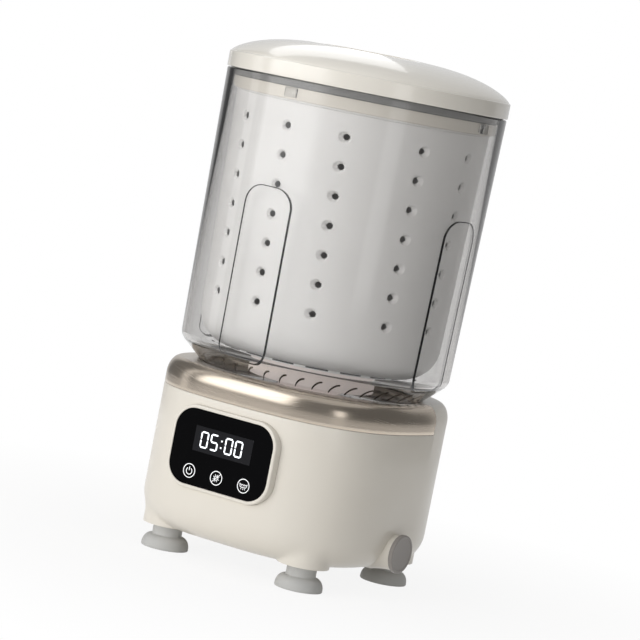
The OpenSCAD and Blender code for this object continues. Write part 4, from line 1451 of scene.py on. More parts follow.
@dataclass
class Tub:
    """The clear tub with its grip outlines, swirl ribs and lugs."""

    wall: float = 3.0
    neck_r: float = 74.5
    neck_h: float = 6.7
    cone_angle: float = 42.0
    round_r: float = 9.0
    low_r: float = 91.8
    hole_r: float = 14.15
    outlet_r: float = 6.0
    outlet_bore: float = 4.5
    outlet_ring: float = 56.0
    lug_size: Corner = (1.4, 9, 6)
    lug_down: float = 8.5
    rib_count: int = 44
    rib_run: float = 6.5
    rib_lean: float = 4.0
    grip_w: float = 36.0
    grip_h: float = 115.0
    grip_up: float = 18.7
    grip_turn: float = -1.0
    groove_w: float = 0.5
    groove_depth: float = 2.2

    def __post_init__(self) -> None:
        """Reads the tub's height and radius."""
        tub = Span.of("outer_tub")
        self.rim_r = tub.high.x
        self.rim_z = tub.high.z
        self.floor_z = Span.of("clamp_nut").low.z
        self.low_z = self.floor_z - self.wall
        self.cone_z = self.low_z + self.neck_h
        rise = math.radians(self.cone_angle)
        self.round_c = self.low_r - self.round_r
        reach = self.round_c + self.round_r * math.sin(rise)
        self.round_z = self.cone_z + (reach - self.neck_r) * math.tan(rise) + self.round_r * math.cos(rise)

    def side(self, depth: float, steps: int = 10) -> list[Point2]:
        """The outline from the neck to the rim.

        Args:
            depth: How far it is drawn in.
            steps: Steps of the rounding.

        Returns:
            Radius and height of each point.
        """
        rise = math.radians(self.cone_angle)
        points = [(self.neck_r - depth, self.cone_z + depth * (1 - math.sin(rise)) / math.cos(rise))]
        radius = self.round_r - depth
        for i in range(steps + 1):
            turn = rise - math.pi / 2 + (math.pi / 2 - rise) * i / steps
            points.append((self.round_c + radius * math.cos(turn), self.round_z + radius * math.sin(turn)))
        points.append((self.rim_r - depth, self.rim_z))
        return points

    def radius_at(self, height: float) -> float:
        """Outer radius above the neck.

        Args:
            height: The height.

        Returns:
            The radius there.
        """
        line = self.side(0.0, 24)
        for (r0, z0), (r1, z1) in zip(line, line[1:]):
            if z0 <= height <= z1:
                return r0 + (r1 - r0) * (height - z0) / (z1 - z0)
        return self.rim_r

    def vessel(self) -> Shape:
        """The tub's wall, cone and floor.

        Returns:
            A closed ring.
        """
        outer, inner = self.side(0.0), self.side(self.wall)
        rim = [(*outer[-2], 0), (*outer[-1], 0.9), (*inner[-1], 0.9), (*inner[-2], 0)]
        profile = [(self.hole_r, self.floor_z), (self.hole_r, self.low_z), (self.neck_r - 1, self.low_z),
                   (self.neck_r - 0.3, self.low_z + 0.3), (self.neck_r, self.low_z + 1)]
        profile += outer[:-1] + eased(rim, closed=False)[1:-1] + inner[-2::-1]
        profile += [(self.neck_r - self.wall, self.floor_z + 1), (self.neck_r - self.wall - 1, self.floor_z)]
        return turned(profile, steps=256)

    def outlet(self) -> Shape:
        """The nipple under the floor that the drain hose is pushed on.

        Returns:
            A closed tube.
        """
        low, high = Span.of("outer_tub").low.z, self.low_z - 0.02
        bore, out = self.outlet_bore, self.outlet_r
        tube = turned(eased([(bore, low, 0.3), (out, low, 0.3), (out, high, 0), (bore, high, 0)]), steps=48)
        return moved(tube, Matrix.Translation((self.outlet_ring, 0, 0)))

    def grip_line(self, middle: float) -> Shape:
        """The bead of painted near-black shade around one grip panel, laid on the wall.

        Args:
            middle: Plan angle of the panel's middle in degrees.

        Returns:
            A closed bead.
        """
        half, low = self.grip_w / 2, self.cone_z + self.grip_up - self.neck_h
        high = low + self.grip_h
        foot, head = 9, 13
        corners = [(half, low, foot), (half, high, head), (-half, high, head), (-half, low, foot)]
        corners = eased(corners, steps=12)
        path: list[Vector] = []
        for here, after in zip(corners, corners[1:] + corners[:1]):
            way = Vector(after) - Vector(here)
            parts = max(round(way.length / 2.5), 1)
            path += [Vector(here) + way * i / parts for i in range(parts)]
        count = len(path)
        sides = ((0, -0.05), (0, self.groove_depth), (1, self.groove_depth), (1, -0.05))
        turn = Matrix.Rotation(math.radians(middle + self.grip_turn), 3, "Z")

        def place(column: int, row: int) -> Vector:
            """A point of the bead.

            Args:
                column: Step around or along.
                row: Step along the profile.

            Returns:
                The point.
            """
            here = path[column % count]
            along = (path[(column + 1) % count] - path[column - 1]).normalized()
            share, depth = sides[row % 4]
            across, z = here + Vector((along.y, -along.x)) * (share - 0.5) * self.groove_w
            ahead = math.sqrt(self.radius_at(z) ** 2 - across**2) - depth
            return turn @ Vector((ahead, across, z))

        return weld(sheet(count, 4, place))

    def rib(self, turn: float) -> Shape:
        """One swirl rib on the cone's inner side: a thin blade that leans over towards its upper end.

        Args:
            turn: Plan angle of its foot in radians.

        Returns:
            A closed blade.
        """
        steps = 8
        rise = math.tan(math.radians(self.cone_angle))
        line = []
        for i in range(steps + 1):
            lean = math.pi / 2 * i / steps
            radius = self.neck_r + 1.5 + self.rib_run * math.sin(lean)
            aside = 1.5 * math.sin(lean) + self.rib_lean * (1 - math.cos(lean))
            line.append((radius, turn + aside / radius))
        sides = ((-0.3, 0.0), (-0.3, 1.6), (0.3, 1.6), (0.3, 0.0))

        def place(column: int, row: int) -> Vector:
            """A point of the blade.

            Args:
                column: Step around or along.
                row: Step along the profile.

            Returns:
                The point.
            """
            radius, angle = line[min(max(column - 1, 0), steps)]
            aside, up = sides[row % 4] if 0 < column < steps + 2 else (0, 0.8)
            angle += aside / radius
            z = self.cone_z + 2.6 + (radius - self.neck_r) * rise + up - 0.6
            return Vector((radius * math.cos(angle), radius * math.sin(angle), z))

        return weld(sheet(steps + 2, 4, place))

    def build(self) -> None:
        """Builds and dresses the pieces."""
        hung("clear_tub", self.vessel(), CLEAR, Body.BASE, ["outer_tub"], 40)
        hung("tub_outlet", self.outlet(), CLEAR, Body.BASE)
        lines = [self.grip_line(turn) for turn in (0, 90, 180, 270)]
        # The grip outlines are beads of painted near-black shade.
        hung("grip_outlines", gathered(lines), GROOVES_PAINTED_SHADE, Body.BASE)
        ribs = [self.rib(TURN * i / self.rib_count) for i in range(self.rib_count)]
        # The ribs are painted a smoky shade that stands in for light bending through the clear blades.
        hung("swirl_ribs", gathered(ribs), RIBS_PAINTED_SMOKY_SHADE, Body.BASE)
        lugs = []
        for i in range(4):
            lug = block(self.lug_size, (self.rim_r - self.wall - 0.85, 0, self.rim_z - self.lug_down), 0.4)
            lugs.append(moved(lug, Matrix.Rotation(TURN * i / 4, 4, "Z")))
        hung("lid_lugs", gathered(lugs), CLEAR, Body.BASE)


# ---- drum ----


@dataclass
class Drum:
    """The perforated drum, its hub and the pulsator in its floor."""

    wall: float = 2.2
    round_r: float = 23.0
    floor_t: float = 3.0
    low_r: float = 82.0
    lip_out: float = 1.4
    lip_h: float = 3.0
    foot_h: float = 3.0
    shaft_r: float = 4.0
    columns: int = 200
    face_cells: int = 50
    side_cells: int = 15
    hole_rows: int = 7
    hole_pitch: float = 19.3
    first_hole: float = 36.5
    hole_turn: float = 268.5
    cells: int = 8
    flare_r: float = 3.9
    bore_r: float = 2.1
    hub_r: float = 43.0
    boss_r: float = 9.0
    slot_count: int = 16
    slot_half: float = 7.3
    slot_h: float = 1.7
    wash_r: float = 46.0
    wash_h: float = 7.0
    vane_count: int = 6
    vane_l: float = 31.0
    vane_from: float = 9.0

    def __post_init__(self) -> None:
        """Reads the drum's heights and radii."""
        drum = Span.of("spin_drum")
        self.foot_z = drum.low.z
        self.floor_z = drum.low.z + self.foot_h
        self.top_z = drum.high.z
        self.top_r = drum.high.x - self.lip_out
        self.foot_r = self.low_r - self.round_r
        self.step_z = self.hole_pitch / self.cells
        self.first_z = self.floor_z + self.first_hole
        self.step_turn = TURN / self.columns

    def wall_r(self, height: float) -> float:
        """Outer radius of the straight wall at a height."""
        low = self.floor_z + self.round_r
        return self.low_r + (self.top_r - self.low_r) * (height - low) / (self.top_z - low)

    def bowl(self) -> Shape:
        """The drum's skin before its holes, with even cells where the holes go.

        Returns:
            A closed bowl.
        """
        centre = self.floor_z + self.round_r
        rows = self.cells * (self.hole_rows - 1) + 4
        first = self.first_z - 2 * self.step_z
        heights = [first + self.step_z * i for i in range(rows + 1)]
        turns = [math.radians(6 * i) for i in range(16)]

        def bend(depth: float) -> list[Point2]:
            """The rounding between floor and wall.

            Args:
                depth: How far it is drawn in.

            Returns:
                Radius and height of each point.
            """
            radius = self.round_r - depth
            return [(self.foot_r + radius * math.sin(t), centre - radius * math.cos(t)) for t in turns]

        outer = bend(0) + [(self.wall_r(z), z) for z in heights]
        inner = bend(self.wall) + [(self.wall_r(z) - self.wall, z) for z in heights]
        inside_r, lip_r, low = self.top_r - self.wall, self.top_r + self.lip_out, self.top_z - self.lip_h
        lip = eased([(self.wall_r(low), low - 3, 0), (self.wall_r(low), low, 0.6), (lip_r, low, 0.5),
                     (lip_r, self.top_z, 0.9), (inside_r, self.top_z, 0.9), (inside_r, self.top_z - 6, 0)],
                    closed=False)
        foot_out, foot_in, foot_z = self.foot_r, self.foot_r - 2.5, self.foot_z
        foot = [(foot_in, self.floor_z), (foot_in, foot_z + 0.3), (foot_in + 0.3, foot_z)]
        foot += [(foot_out - 0.3, foot_z), (foot_out, foot_z + 0.3)]
        plate_z = self.floor_z + self.floor_t
        profile = [(self.shaft_r, plate_z), (self.shaft_r, self.floor_z), *foot, *outer, *lip]
        profile += [*reversed(inner[1:]), (self.foot_r, plate_z)]
        turn = Matrix.Rotation(math.radians(self.hole_turn), 4, "Z")
        return moved(turned(profile, steps=self.columns), turn)

    def cell_of(self, point: Vector) -> tuple[tuple[int, int, int], float, float]:
        """Where a point of the wall lies.

        Args:
            point: The point.

        Returns:
            Face, side and row of the nearest hole, and the cells from there, around and up.
        """
        turn = (math.atan2(point.y, point.x) - math.radians(self.hole_turn)) / self.step_turn
        face = round(turn / self.face_cells)
        side = min(max(round((turn - self.face_cells * face) / self.side_cells), -1), 1)
        up = (point.z - self.first_z) / self.step_z
        row = min(max(round(up / self.cells), 0), self.hole_rows - 1)
        around = turn - self.face_cells * face - self.side_cells * side
        return (face, side, row), around, up - self.cells * row

    def in_hole(self, hole: tuple[int, int, int], across: float, up: float, depth: float) -> Vector:
        """A point of a hole's wall. One slide forms a face's three columns, so they run the same way.

        Args:
            hole: Face, side and row of the hole.
            across: Millimetres across from its axis.
            up: Millimetres up from its axis.
            depth: Depth below the outside.

        Returns:
            The point.
        """
        face, side, row = hole
        z = self.first_z + row * self.hole_pitch
        lateral = self.wall_r(z) * math.sin(side * self.side_cells * self.step_turn) + across
        ahead = math.sqrt((self.wall_r(z + up) - depth) ** 2 - lateral**2)
        turn = math.radians(self.hole_turn) + face * self.face_cells * self.step_turn
        return Matrix.Rotation(turn, 3, "Z") @ Vector((ahead, lateral, z + up))

    def pierce(self, shape: Shape) -> Shape:
        """Opens every hole: a wide flare outside that narrows to a bore on the inside.

        Args:
            shape: The bowl, changed in place.

        Returns:
            The pierced bowl.
        """
        reach = 2.0
        low, high = self.first_z - reach * self.step_z, self.first_z
        high += (self.hole_rows - 1) * self.hole_pitch + reach * self.step_z
        gone = []
        for face in shape.faces:
            middle = face.calc_center_median()
            if not low < middle.z < high or middle.xy.length < self.low_r - 2 * self.wall:
                continue
            _, around, up = self.cell_of(middle)
            if abs(around) < reach and abs(up) < reach:
                gone.append(face)
        bmesh.ops.delete(shape, geom=gone, context="FACES")
        flare, bore = self.flare_r, self.bore_r
        rings = [(flare, 0.0), (flare - 0.25, 0.1), (flare - 0.45, 0.3), (bore + 0.1, 1.9), (bore, 2.05)]
        rings.append((bore, self.wall))
        slice_of = math.pi / 8
        edges = [edge for edge in shape.edges if edge.is_boundary]
        outside = [e for e in edges if e.verts[0].co.xy.length > self.wall_r(e.verts[0].co.z) - self.wall / 2]
        inside = [e for e in edges if e not in set(outside)]
        for loop, steps in ((outside, rings), (inside, [(bore + 0.5, self.wall), (bore, self.wall)])):
            for radius, depth in steps:
                grown = bmesh.ops.extrude_edge_only(shape, edges=loop)["geom"]
                loop = [g for g in grown if isinstance(g, bmesh.types.BMEdge)]
                for vert in (g for g in grown if isinstance(g, bmesh.types.BMVert)):
                    hole, around, up = self.cell_of(vert.co)
                    if radius != steps[0][0]:
                        off = hole[1] * self.side_cells * self.step_turn
                        around *= self.step_turn * self.low_r * math.cos(off)
                        up *= self.step_z
                    turn = round(math.atan2(up, around) / slice_of) * slice_of
                    vert.co = self.in_hole(hole, radius * math.cos(turn), radius * math.sin(turn), depth)
        return weld(shape)

    def hub(self) -> Shape:
        """The hub: a skirt under the drum, a plate and a boss on the shaft.

        Returns:
            A closed hub.
        """
        hub = Span.of("drum_hub")
        low, high = hub.low.z, hub.high.z
        r, boss = self.hub_r, self.boss_r
        inside = [(self.shaft_r, high, 0), (self.shaft_r, high - 7, 0), (boss, high - 7, 0.5)]
        inside += [(boss, high - 3, 1), (r - 2.5, high - 3, 1), (r - 2.5, low, 0.4)]
        groove = [(r, high - 3.2, 0.2), (r - 0.5, high - 2.9, 0.1), (r - 0.5, high - 2.2, 0.1)]
        groove.append((r, high - 1.9, 0.2))
        return turned(eased([*inside, (r, low, 0.8), *groove, (r, high, 0.6)]), steps=160)

    def slots(self) -> Shape:
        """The slots around the ring that the drum's floor stands on, as dark pieces of painted shade.

        Returns:
            The slots in one shape.
        """
        top, low = self.floor_z - 0.1, self.floor_z - 0.1 - self.slot_h
        inner, outer = self.foot_r - 0.4, self.foot_r + 0.1
        section = ((inner, low), (outer, low), (outer, top), (inner, top))
        half, steps = math.radians(self.slot_half), 10
        shapes = []
        for i in range(self.slot_count):
            middle = TURN * (i + 0.5) / self.slot_count

            def place(column: int, row: int, middle: float = middle) -> Vector:
                """A point of one slot.

                Args:
                    column: Step along the slot.
                    row: Step around its section.
                    middle: Plan angle of its middle.

                Returns:
                    The point.
                """
                turn = middle + half * (2 * column / steps - 1)
                radius, z = section[row % 4]
                return Vector((radius * math.cos(turn), radius * math.sin(turn), z))

            slot = sheet(steps, 4, place)
            bmesh.ops.remove_doubles(slot, verts=slot.verts, dist=WELD)
            bmesh.ops.holes_fill(slot, edges=slot.edges[:], sides=4)
            bmesh.ops.recalc_face_normals(slot, faces=slot.faces)
            shapes.append(slot)
        return gathered(shapes)

    def pulsator(self) -> Shape:
        """The wash plate: a low dome with six rounded vanes.

        Returns:
            The plate and its vanes in one shape.
        """
        low = Span.of("pulsator").low.z
        radius, high = self.wash_r, self.wash_h
        turns = [math.radians(6 * i) for i in range(1, 15)]
        dome = [(radius * math.cos(t), low + high * math.sin(t)) for t in turns]
        profile = [(self.shaft_r, low), (radius - 0.4, low), (radius, low + 0.3), *dome]
        plate = turned([*profile, (self.shaft_r, low + high)], steps=128)
        vanes = []
        for i in range(self.vane_count):
            vane = block((self.vane_l, 3.2, 7), (self.vane_from + self.vane_l / 2, 0, low + 6.4), 1.4, 4)
            for vert in vane.verts:
                share = (vert.co.x - self.vane_from) / self.vane_l
                vert.co.z = min(vert.co.z, low + 10 - 4.2 * share * share)
            vanes.append(moved(vane, Matrix.Rotation(TURN * i / self.vane_count, 4, "Z")))
        return gathered([plate, *vanes])

    def build(self) -> None:
        """Builds and dresses the pieces."""
        drum = self.pierce(self.bowl())
        hung("perforated_drum", drum, DRUM_WHITE, Body.DRUM, ["spin_drum"], 40)
        # The hub carries a painted glow that lifts it out of the shade under the drum.
        hung("hub_body", self.hub(), HUB_GREY_PAINTED_GLOW, Body.DRUM, ["drum_hub"])
        # The slots are dark pieces of painted shade.
        hung("drum_slots", self.slots(), GROOVES_PAINTED_SHADE, Body.DRUM)
        hung("wash_plate", self.pulsator(), DRUM_WHITE, Body.DRUM, ["pulsator"])


# ---- lid ----


@dataclass
class Lid:
    """The domed lid with its two grip pockets, the liner that enters the tub and its gasket."""

    skirt_h: float = 10.8
    crease: float = 1.0
    fullness: float = 3.4
    softness: float = 0.77
    wall: float = 2.4
    pocket_r: float = 44.0
    pocket_depth: float = 9.0
    bar_half: float = 9.0
    pocket_corner: float = 6.0
    ring_r: float = 90.2
    ring_in: float = 87.6
    veil_t: float = 1.5
    veil_h: float = 4.2
    seal_r: float = 91.75
    seal_h: float = 5.2

    def __post_init__(self) -> None:
        """Reads the lid's heights and radii."""
        cover, liner, gasket = Span.of("lid_cover"), Span.of("lid_liner"), Span.of("lid_gasket")
        self.low, self.top, self.r = cover.low.z, cover.high.z, cover.high.x
        self.dome_r = self.r - 1
        self.liner_low, self.liner_top, self.liner_out = liner.low.z, liner.high.z, liner.high.x
        self.gasket_low, self.gasket_top = gasket.low.z, gasket.high.z

    def dome_z(self, radius: float, drop: float = 0.0) -> float:
        """Height of the dome.

        Args:
            radius: Distance from the axis.
            drop: How far the dome is drawn in.

        Returns:
            The height.
        """
        share = min(radius / (self.dome_r - drop), 1)
        rise = self.top - self.low - self.skirt_h
        return self.low + self.skirt_h + rise * (1 - share**self.fullness) ** self.softness - drop

    def dome(self, drop: float, steps: int) -> list[Point2]:
        """The dome's points from the middle out."""
        radii = [(self.dome_r - drop) * math.sqrt(1 - (1 - i / steps) ** 2) for i in range(steps + 1)]
        return [(r, self.dome_z(r, drop)) for r in radii]

    def pocket(self, side: int, grow: float = 0.0) -> Shape:
        """The tool that cuts one grip pocket, flared where it leaves the dome.

        Args:
            side: 1 for the pocket towards +Y and -1 for the other.
            grow: How much wider and deeper it is than the pocket.

        Returns:
            A closed tool.
        """
        floor, top = self.top - self.pocket_depth, self.top
        levels = [(-2.6, floor), (-1.9, floor + 0.15), (-1.2, floor + 0.5), (-0.5, floor + 1.2)]
        levels += [(-0.1, floor + 2.2), (0, floor + 3.4), (0, top - 2.6), (0.25, top - 1.9)]
        levels += [(0.8, top - 1.2), (1.7, top - 0.75), (3.2, top - 0.5), (3.2, top + 4)]

        def outline(offset: float) -> list[Point2]:
            """The pocket's outline.

            Args:
                offset: How much it is grown.

            Returns:
                The outline's points.
            """
            radius, base, corner = self.pocket_r + offset, self.bar_half - offset, self.pocket_corner
            lower = math.asin((base + corner) / (radius - corner))
            reach = (radius - corner) * math.cos(lower)
            points = [(reach + corner * math.cos(t), base + corner + corner * math.sin(t))
                      for t in (lower * (1 - i / 6) - math.pi / 2 * (i / 6) for i in range(7))]
            points = points[::-1]
            points += [(radius * math.cos(lower + (math.pi - 2 * lower) * i / 40),
                        radius * math.sin(lower + (math.pi - 2 * lower) * i / 40)) for i in range(1, 40)]
            points += [(-x, y) for x, y in points[6::-1]]
            return points

        loops = [outline(offset + grow) for offset, _ in levels]
        count = len(loops[0])

        def place(column: int, row: int) -> Vector:
            """A point of the tool.

            Args:
                column: Step around or along.
                row: Step along the profile.

            Returns:
                The point.
            """
            x, y = loops[row][column % count]
            return Vector((x, y, levels[row][1] - grow))

        shape = sheet(count, len(levels) - 1, place)
        bmesh.ops.remove_doubles(shape, verts=shape.verts, dist=WELD)
        bmesh.ops.holes_fill(shape, edges=shape.edges[:], sides=0)
        if side < 0:
            moved(shape, Matrix.Rotation(math.pi, 4, "Z"))
        bmesh.ops.recalc_face_normals(shape, faces=shape.faces)
        return shape

    def cover(self) -> Shape:
        """The dome and skirt with their pockets, hollow underneath.

        Returns:
            A closed cover.
        """
        edge = self.low + self.skirt_h
        outer, inner = self.dome(0.0, 40), self.dome(self.wall, 24)
        skirt = eased([(*outer[-1], 0), (self.r - 0.2, edge - 0.4, 0.5), (self.r, edge - self.crease, 0.4),
                       (self.r, self.low, 0.7), (0, self.low, 0)], closed=False)
        solid = turned(outer + skirt[1:], closed=False, steps=224)
        inside = self.r - self.wall
        bottom = [(inside, edge - self.crease - self.wall), (inside, self.low + 0.4)]
        bottom += [(inside + 0.5, self.low - 0.1), (0, self.low - 0.1)]
        hollow = turned(inner + bottom, closed=False, steps=224)
        for side in (1, -1):
            hollow = combined(hollow, self.pocket(side, self.wall), Cut.TAKE)
        solid = combined(solid, hollow, Cut.TAKE)
        for side in (1, -1):
            solid = combined(solid, self.pocket(side), Cut.TAKE)
        return solid

    def build(self) -> None:
        """Builds and dresses the pieces."""
        hung("lid_dome", self.cover(), IVORY_GLOSS, Body.LID, ["lid_cover"], 30)
        out, top, plate = self.liner_out, self.liner_top, self.liner_top - 2
        ring_r, veil_r, veil = self.ring_r, self.ring_r - self.veil_t, self.liner_low - self.veil_h
        profile = [(0, top, 0), (out, top, 0.3), (out, plate, 0.3), (ring_r, plate, 0), (ring_r, veil, 0.6)]
        profile += [(veil_r, veil, 0.6), (veil_r, self.liner_low, 0.5), (self.ring_in, self.liner_low, 0.5)]
        profile += [(self.ring_in, plate, 0.8), (0, plate, 0)]
        liner = turned(eased(profile, closed=False), closed=False, steps=192)
        hung("lid_plug", liner, IVORY, Body.LID, ["lid_liner"])
        inner, seal_r, lip, step = ring_r + 0.05, self.seal_r, self.gasket_low, self.gasket_low + self.seal_h
        profile = [(inner, lip, 0.3), (seal_r - 0.5, lip, 0.3), (seal_r, lip + 0.8, 0.3), (seal_r, step, 0)]
        profile += [(out, step, 0.4), (out, self.gasket_top, 0.4), (inner, self.gasket_top, 0)]
        gasket = turned(eased(profile), steps=192)
        hung("lid_seal", gasket, GASKET_RUBBER, Body.LID, ["lid_gasket"])


# ---- drain ----


@dataclass
class Drain:
    """The grey drain cap with its plug."""

    cap_r: float = 13.0
    cap_t: float = 3.0
    plug_r: float = 8.1
    groove_depth: float = 1.35

    def build(self) -> None:
        """Builds and dresses the cap."""
        cap = Span.of("drain_cap")
        seal = Span.of("drain_seal")
        face, back, end = cap.high.x, cap.high.x - self.cap_t, cap.low.x
        rim, plug, groove = self.cap_r, self.plug_r, self.plug_r - self.groove_depth
        near, far = seal.high.x + 0.1, seal.low.x - 0.1
        profile = [(0, face - 0.25, 0), (rim - 2.2, face - 0.25, 0.4), (rim - 1.8, face, 0.3)]
        profile += [(rim, face, 0.7), (rim, back, 0.4), (plug, back, 0), (plug, near, 0)]
        profile += [(groove, near, 0), (groove, far, 0)]
        profile = eased([*profile, (plug, far, 0), (plug, end, 0.6), (0, end, 0)], closed=False)
        shape = turned(profile, closed=False, steps=96)
        lay = Matrix.Translation((0, 0, (cap.low.z + cap.high.z) / 2)) @ Matrix.Rotation(math.pi / 2, 4, "Y")
        hung("drain_plug_cap", moved(shape, lay), CAP_GREY, Body.DRAIN, ["drain_cap"])


# ---- studio ----


@dataclass
class Studio:
    """Floor, world, lamps and camera."""

    azimuth: float = 31.4
    distance: float = 2.0
    eye_z: float = 0.337
    target_z: float = 0.169
    target_aside: float = -0.0017
    lens: float = 167.7
    roll: float = 11.14
    ambient: float = 0.36
    key_power: float = 5.2
    fill_power: float = 3.6

    def aim(self, thing: bpy.types.Object, place: Vector, target: Vector, roll: float = 0.0) -> None:
        """Puts a camera or lamp somewhere and points it at a target."""
        look = (target - place).to_track_quat("-Z", "Y").to_matrix().to_4x4()
        thing.matrix_world = Matrix.Translation(place) @ look @ Matrix.Rotation(math.radians(roll), 4, "Z")

    def camera(self) -> None:
        """The eye: level with the lid, to the right of the panel, and tipped about its own axis."""
        turn = math.radians(self.azimuth)
        data = bpy.data.cameras.new("camera")
        data.lens = self.lens
        data.sensor_width = 36.0
        data.clip_start, data.clip_end = 0.05, 50.0
        eye = bpy.data.objects.new("camera", data)
        bpy.context.scene.collection.objects.link(eye)
        place = Vector((self.distance * math.sin(turn), -self.distance * math.cos(turn), self.eye_z))
        aside = Vector((math.cos(turn), math.sin(turn), 0)) * self.target_aside
        self.aim(eye, place, Vector((0, 0, self.target_z)) + aside, self.roll)
        bpy.context.scene.camera = eye

    def white_for_the_eye(self, tree: bpy.types.NodeTree) -> bpy.types.NodeSocket:
        """Sorts the rays that should see white from the rest.

        Args:
            tree: The node tree.

        Returns:
            1 for camera, glossy and transmission rays, and 0 for the rest.
        """
        path = add_node(tree, "ShaderNodeLightPath")
        seen = path.outputs["Is Camera Ray"]
        for kind in ("Is Glossy Ray", "Is Transmission Ray"):
            either = add_node(tree, "ShaderNodeMath", {0: seen, 1: path.outputs[kind]}, operation="MAXIMUM")
            seen = either.outputs[0]
        return seen

    def world(self, ambient: float) -> None:
        """A white surround for the eye over a plain grey fill light.

        Args:
            ambient: Strength of the fill light.
        """
        world = bpy.data.worlds.new("surround")
        world.use_nodes = True
        tree = world.node_tree
        tree.nodes.clear()
        fill = add_node(tree, "ShaderNodeBackground", {"Color": linear("#ffffff"), "Strength": ambient})
        white = add_node(tree, "ShaderNodeBackground", {"Color": linear("#ffffff"), "Strength": 1.0})
        seen = self.white_for_the_eye(tree)
        mix = add_node(tree, "ShaderNodeMixShader", {0: seen, 1: fill.outputs[0], 2: white.outputs[0]})
        output = add_node(tree, "ShaderNodeOutputWorld")
        tree.links.new(mix.outputs[0], output.inputs["Surface"])
        bpy.context.scene.world = world

    def floor(self) -> None:
        """A pale floor that keeps the shadow and fades into the white surround."""
        shape = bmesh.new()
        bmesh.ops.create_circle(shape, cap_ends=True, radius=6.0, segments=96)
        mesh = bpy.data.meshes.new("studio_floor")
        shape.to_mesh(mesh)
        shape.free()
        material = bpy.data.materials.new("paper_white")
        material.use_nodes = True
        tree = material.node_tree
        tree.nodes.clear()
        place = add_node(tree, "ShaderNodeTexCoord")
        reach = add_node(tree, "ShaderNodeVectorMath", {0: place.outputs["Object"]}, operation="LENGTH")
        ramp = {"From Min": 0.12, "From Max": 0.4, "To Min": 0.88, "To Max": 1.0}
        fade = add_node(tree, "ShaderNodeMapRange", {"Value": reach.outputs["Value"], **ramp})
        glow = add_node(tree, "ShaderNodeMath", {0: fade.outputs["Result"], 1: self.white_for_the_eye(tree)},
                        operation="MULTIPLY")
        paper = add_node(tree, "ShaderNodeBsdfDiffuse", {"Color": linear("#f4f3f1")})
        white = add_node(tree, "ShaderNodeEmission", {"Color": linear("#ffffff"), "Strength": 1.0})
        mix = add_node(
            tree, "ShaderNodeMixShader", {0: glow.outputs[0], 1: paper.outputs[0], 2: white.outputs[0]}
        )
        output = add_node(tree, "ShaderNodeOutputMaterial")
        tree.links.new(mix.outputs[0], output.inputs["Surface"])
        mesh.materials.append(material)
        floor = bpy.data.objects.new("studio_floor", mesh)
        bpy.context.scene.collection.objects.link(floor)

    def around(self, degrees: float, distance: float, height: float) -> Vector:
        """A place around the object; 0 degrees is the camera's side and positive goes to its right."""
        turn = math.radians(self.azimuth + degrees)
        return Vector((distance * math.sin(turn), -distance * math.cos(turn), height))

    def lamp(self, name: str, place: Vector, target: Vector, size: Point2, power: float) -> None:
        """Adds a soft rectangular lamp that reflections don't see: the cards stand for it there.

        Args:
            name: The lamp's name.
            place: Where it is.
            target: What it points at.
            size: Its width and height.
            power: Its power in watts.
        """
        data = bpy.data.lights.new(name, "AREA")
        data.shape = "RECTANGLE"
        data.size, data.size_y = size
        data.energy = power
        lamp = bpy.data.objects.new(name, data)
        bpy.context.scene.collection.objects.link(lamp)
        lamp.visible_glossy = False
        self.aim(lamp, place, target)

    def card(self, name: str, shape: Shape, shade: Callable[[Vector], float]) -> None:
        """Adds a glowing sheet that only reflections see.

        Args:
            name: The card's name.
            shape: Its surface in metres, which is used up.
            shade: How bright it is at a point.
        """
        mesh = bpy.data.meshes.new(name)
        shape.to_mesh(mesh)
        shape.free()
        levels = mesh.attributes.new("shade", "FLOAT", "POINT")
        for vert in mesh.vertices:
            levels.data[vert.index].value = shade(vert.co)
        material = bpy.data.materials.new(name)
        material.use_nodes = True
        material.cycles.emission_sampling = "NONE"
        tree = material.node_tree
        tree.nodes.clear()
        level = add_node(tree, "ShaderNodeAttribute", attribute_name="shade")
        glow = add_node(tree, "ShaderNodeEmission", {"Color": (1, 1, 1, 1), "Strength": level.outputs["Fac"]})
        output = add_node(tree, "ShaderNodeOutputMaterial")
        tree.links.new(glow.outputs[0], output.inputs["Surface"])
        mesh.materials.append(material)
        card = bpy.data.objects.new(name, mesh)
        bpy.context.scene.collection.objects.link(card)
        for ray in ("camera", "diffuse", "transmission", "shadow", "volume_scatter"):
            setattr(card, f"visible_{ray}", False)

    def wall_shade(self, degrees: float, z: float) -> float:
        """Brightness of the room's wall.

        Args:
            degrees: Angle from the camera's side.
            z: Height.

        Returns:
            The brightness there.
        """
        softbox = 0.4 + 2.0 * min(max((z - 0.16) / 0.08, 0), 1)
        window = 0.2 + 1.4 * min(max((0.55 - z) / 0.1, 0), 1) * min(max((z - 0.06) / 0.08, 0), 1)
        stops = [(-180, 0.7), (-152, 0.6), (-146, 0.2), (-104, 0.2), (-102, 1.0), (-94, 1.0), (-92, 0.15)]
        stops += [(-85, 0.15), (-80, softbox), (-38, softbox), (-27, 0.22), (18, 0.22), (22, window)]
        stops += [(31, window), (36, 0.16), (118, 0.16), (126, 0.5), (152, 0.6), (180, 0.7)]
        for (a, low), (b, high) in zip(stops, stops[1:]):
            if a <= degrees <= b:
                return low + (high - low) * (degrees - a) / (b - a)
        return 0.7

    def room(self) -> None:
        """A round room of light and dark sheets, which gives the glossy surfaces something to mirror."""
        radius, height, dome_h, wall_share, columns, rows = 1.02, 1.2, 0.5, 0.75, 180, 24

        def place(column: int, row: int) -> Vector:
            """A point of the room's wall or dome.

            Args:
                column: Step around or along.
                row: Step along the profile.

            Returns:
                The point.
            """
            degrees, share = 360 * column / columns - 180, row / rows
            if share <= wall_share:
                return self.around(degrees, radius, height * share / wall_share)
            lift = math.pi / 2 * (share - wall_share) / (1 - wall_share)
            return self.around(degrees, radius * math.cos(lift), height + dome_h * math.sin(lift))

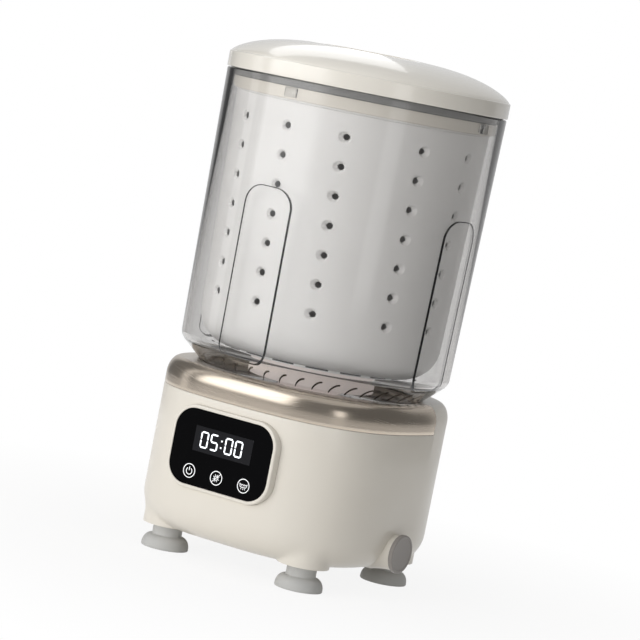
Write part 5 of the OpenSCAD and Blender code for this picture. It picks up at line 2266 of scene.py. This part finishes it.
        def shade(point: Vector) -> float:
            """Brightness of the room at a point.

            Args:
                point: The point.

            Returns:
                The brightness there.
            """
            degrees = math.degrees(math.atan2(point.x, -point.y)) - self.azimuth
            degrees = (degrees + 180) % 360 - 180
            up = min(max((point.z - 1.15) / 0.2, 0), 1)
            return (1 - up) * self.wall_shade(degrees, point.z) + up * 0.6

        self.card("reflected_room", sheet(columns, rows, place), shade)

    def lid_highlight(self) -> None:
        """A bright sheet behind the object, bent so that the lid mirrors it as a bar with a crisp end."""
        centre, distance = Vector((0, 0, 0.34)), 0.95
        low_lean, lean_range, low_slope, slope_range = 3, 45, -2.2, 2.65
        columns, rows, glow = 24, 12, 1.6
        turn = math.radians(self.azimuth)
        right = Vector((math.cos(turn), math.sin(turn), 0))
        away = Vector((-math.sin(turn), math.cos(turn), 0))

        def place(column: int, row: int) -> Vector:
            """A point of the bent sheet.

            Args:
                column: Step around or along.
                row: Step along the profile.

            Returns:
                The point.
            """
            up = math.sin(math.radians(low_lean + lean_range * row / rows))
            aside = (low_slope + slope_range * column / columns) * up * up / 2
            ahead = math.sqrt(max(1 - up * up - aside * aside, 0))
            return centre + distance * (aside * right + ahead * away + Vector((0, 0, up)))

        self.card("lid_highlight", sheet(columns, rows, place), lambda point: glow)

    def build(self) -> None:
        """Sets up the whole studio."""
        self.camera()
        self.world(self.ambient)
        self.floor()
        middle, base_middle = Vector((0, 0, 0.18)), Vector((0, 0, 0.14))
        self.lamp("key_softbox", self.around(-44, 1.3, 0.6), middle, (0.9, 0.9), self.key_power)
        self.lamp("low_softbox", self.around(-38, 1.2, 0.17), base_middle, (0.8, 0.24), self.fill_power)
        self.lamp("top_softbox", Vector((-0.1, -0.1, 1.5)), middle, (0.7, 0.7), self.fill_power)
        self.room()
        self.lid_highlight()
        scene = bpy.context.scene
        scene.view_settings.view_transform = "Standard"


def dress_frame(frame: dict[str, object]) -> None:
    """Gives each CAD node that stays in view its finish.
    """
    for node, finish in NODE_FINISHES.items():
        piece = frame["nodes"][node]
        for slot in piece.material_slots:
            slot.material = finish.material()
        log.info("%s: %s", node, finish.name)


def main() -> None:
    """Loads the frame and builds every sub-assembly."""
    logging.basicConfig(level=logging.INFO, format="%(name)s: %(message)s")
    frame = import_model()
    panel = Panel()
    Studio().build()
    dress_frame(frame)
    Housing().build(panel.cut())
    panel.build()
    Tub().build()
    Drum().build()
    Lid().build()
    Drain().build()
    bpy.context.view_layer.update()


if __name__ == "__main__":
    main()
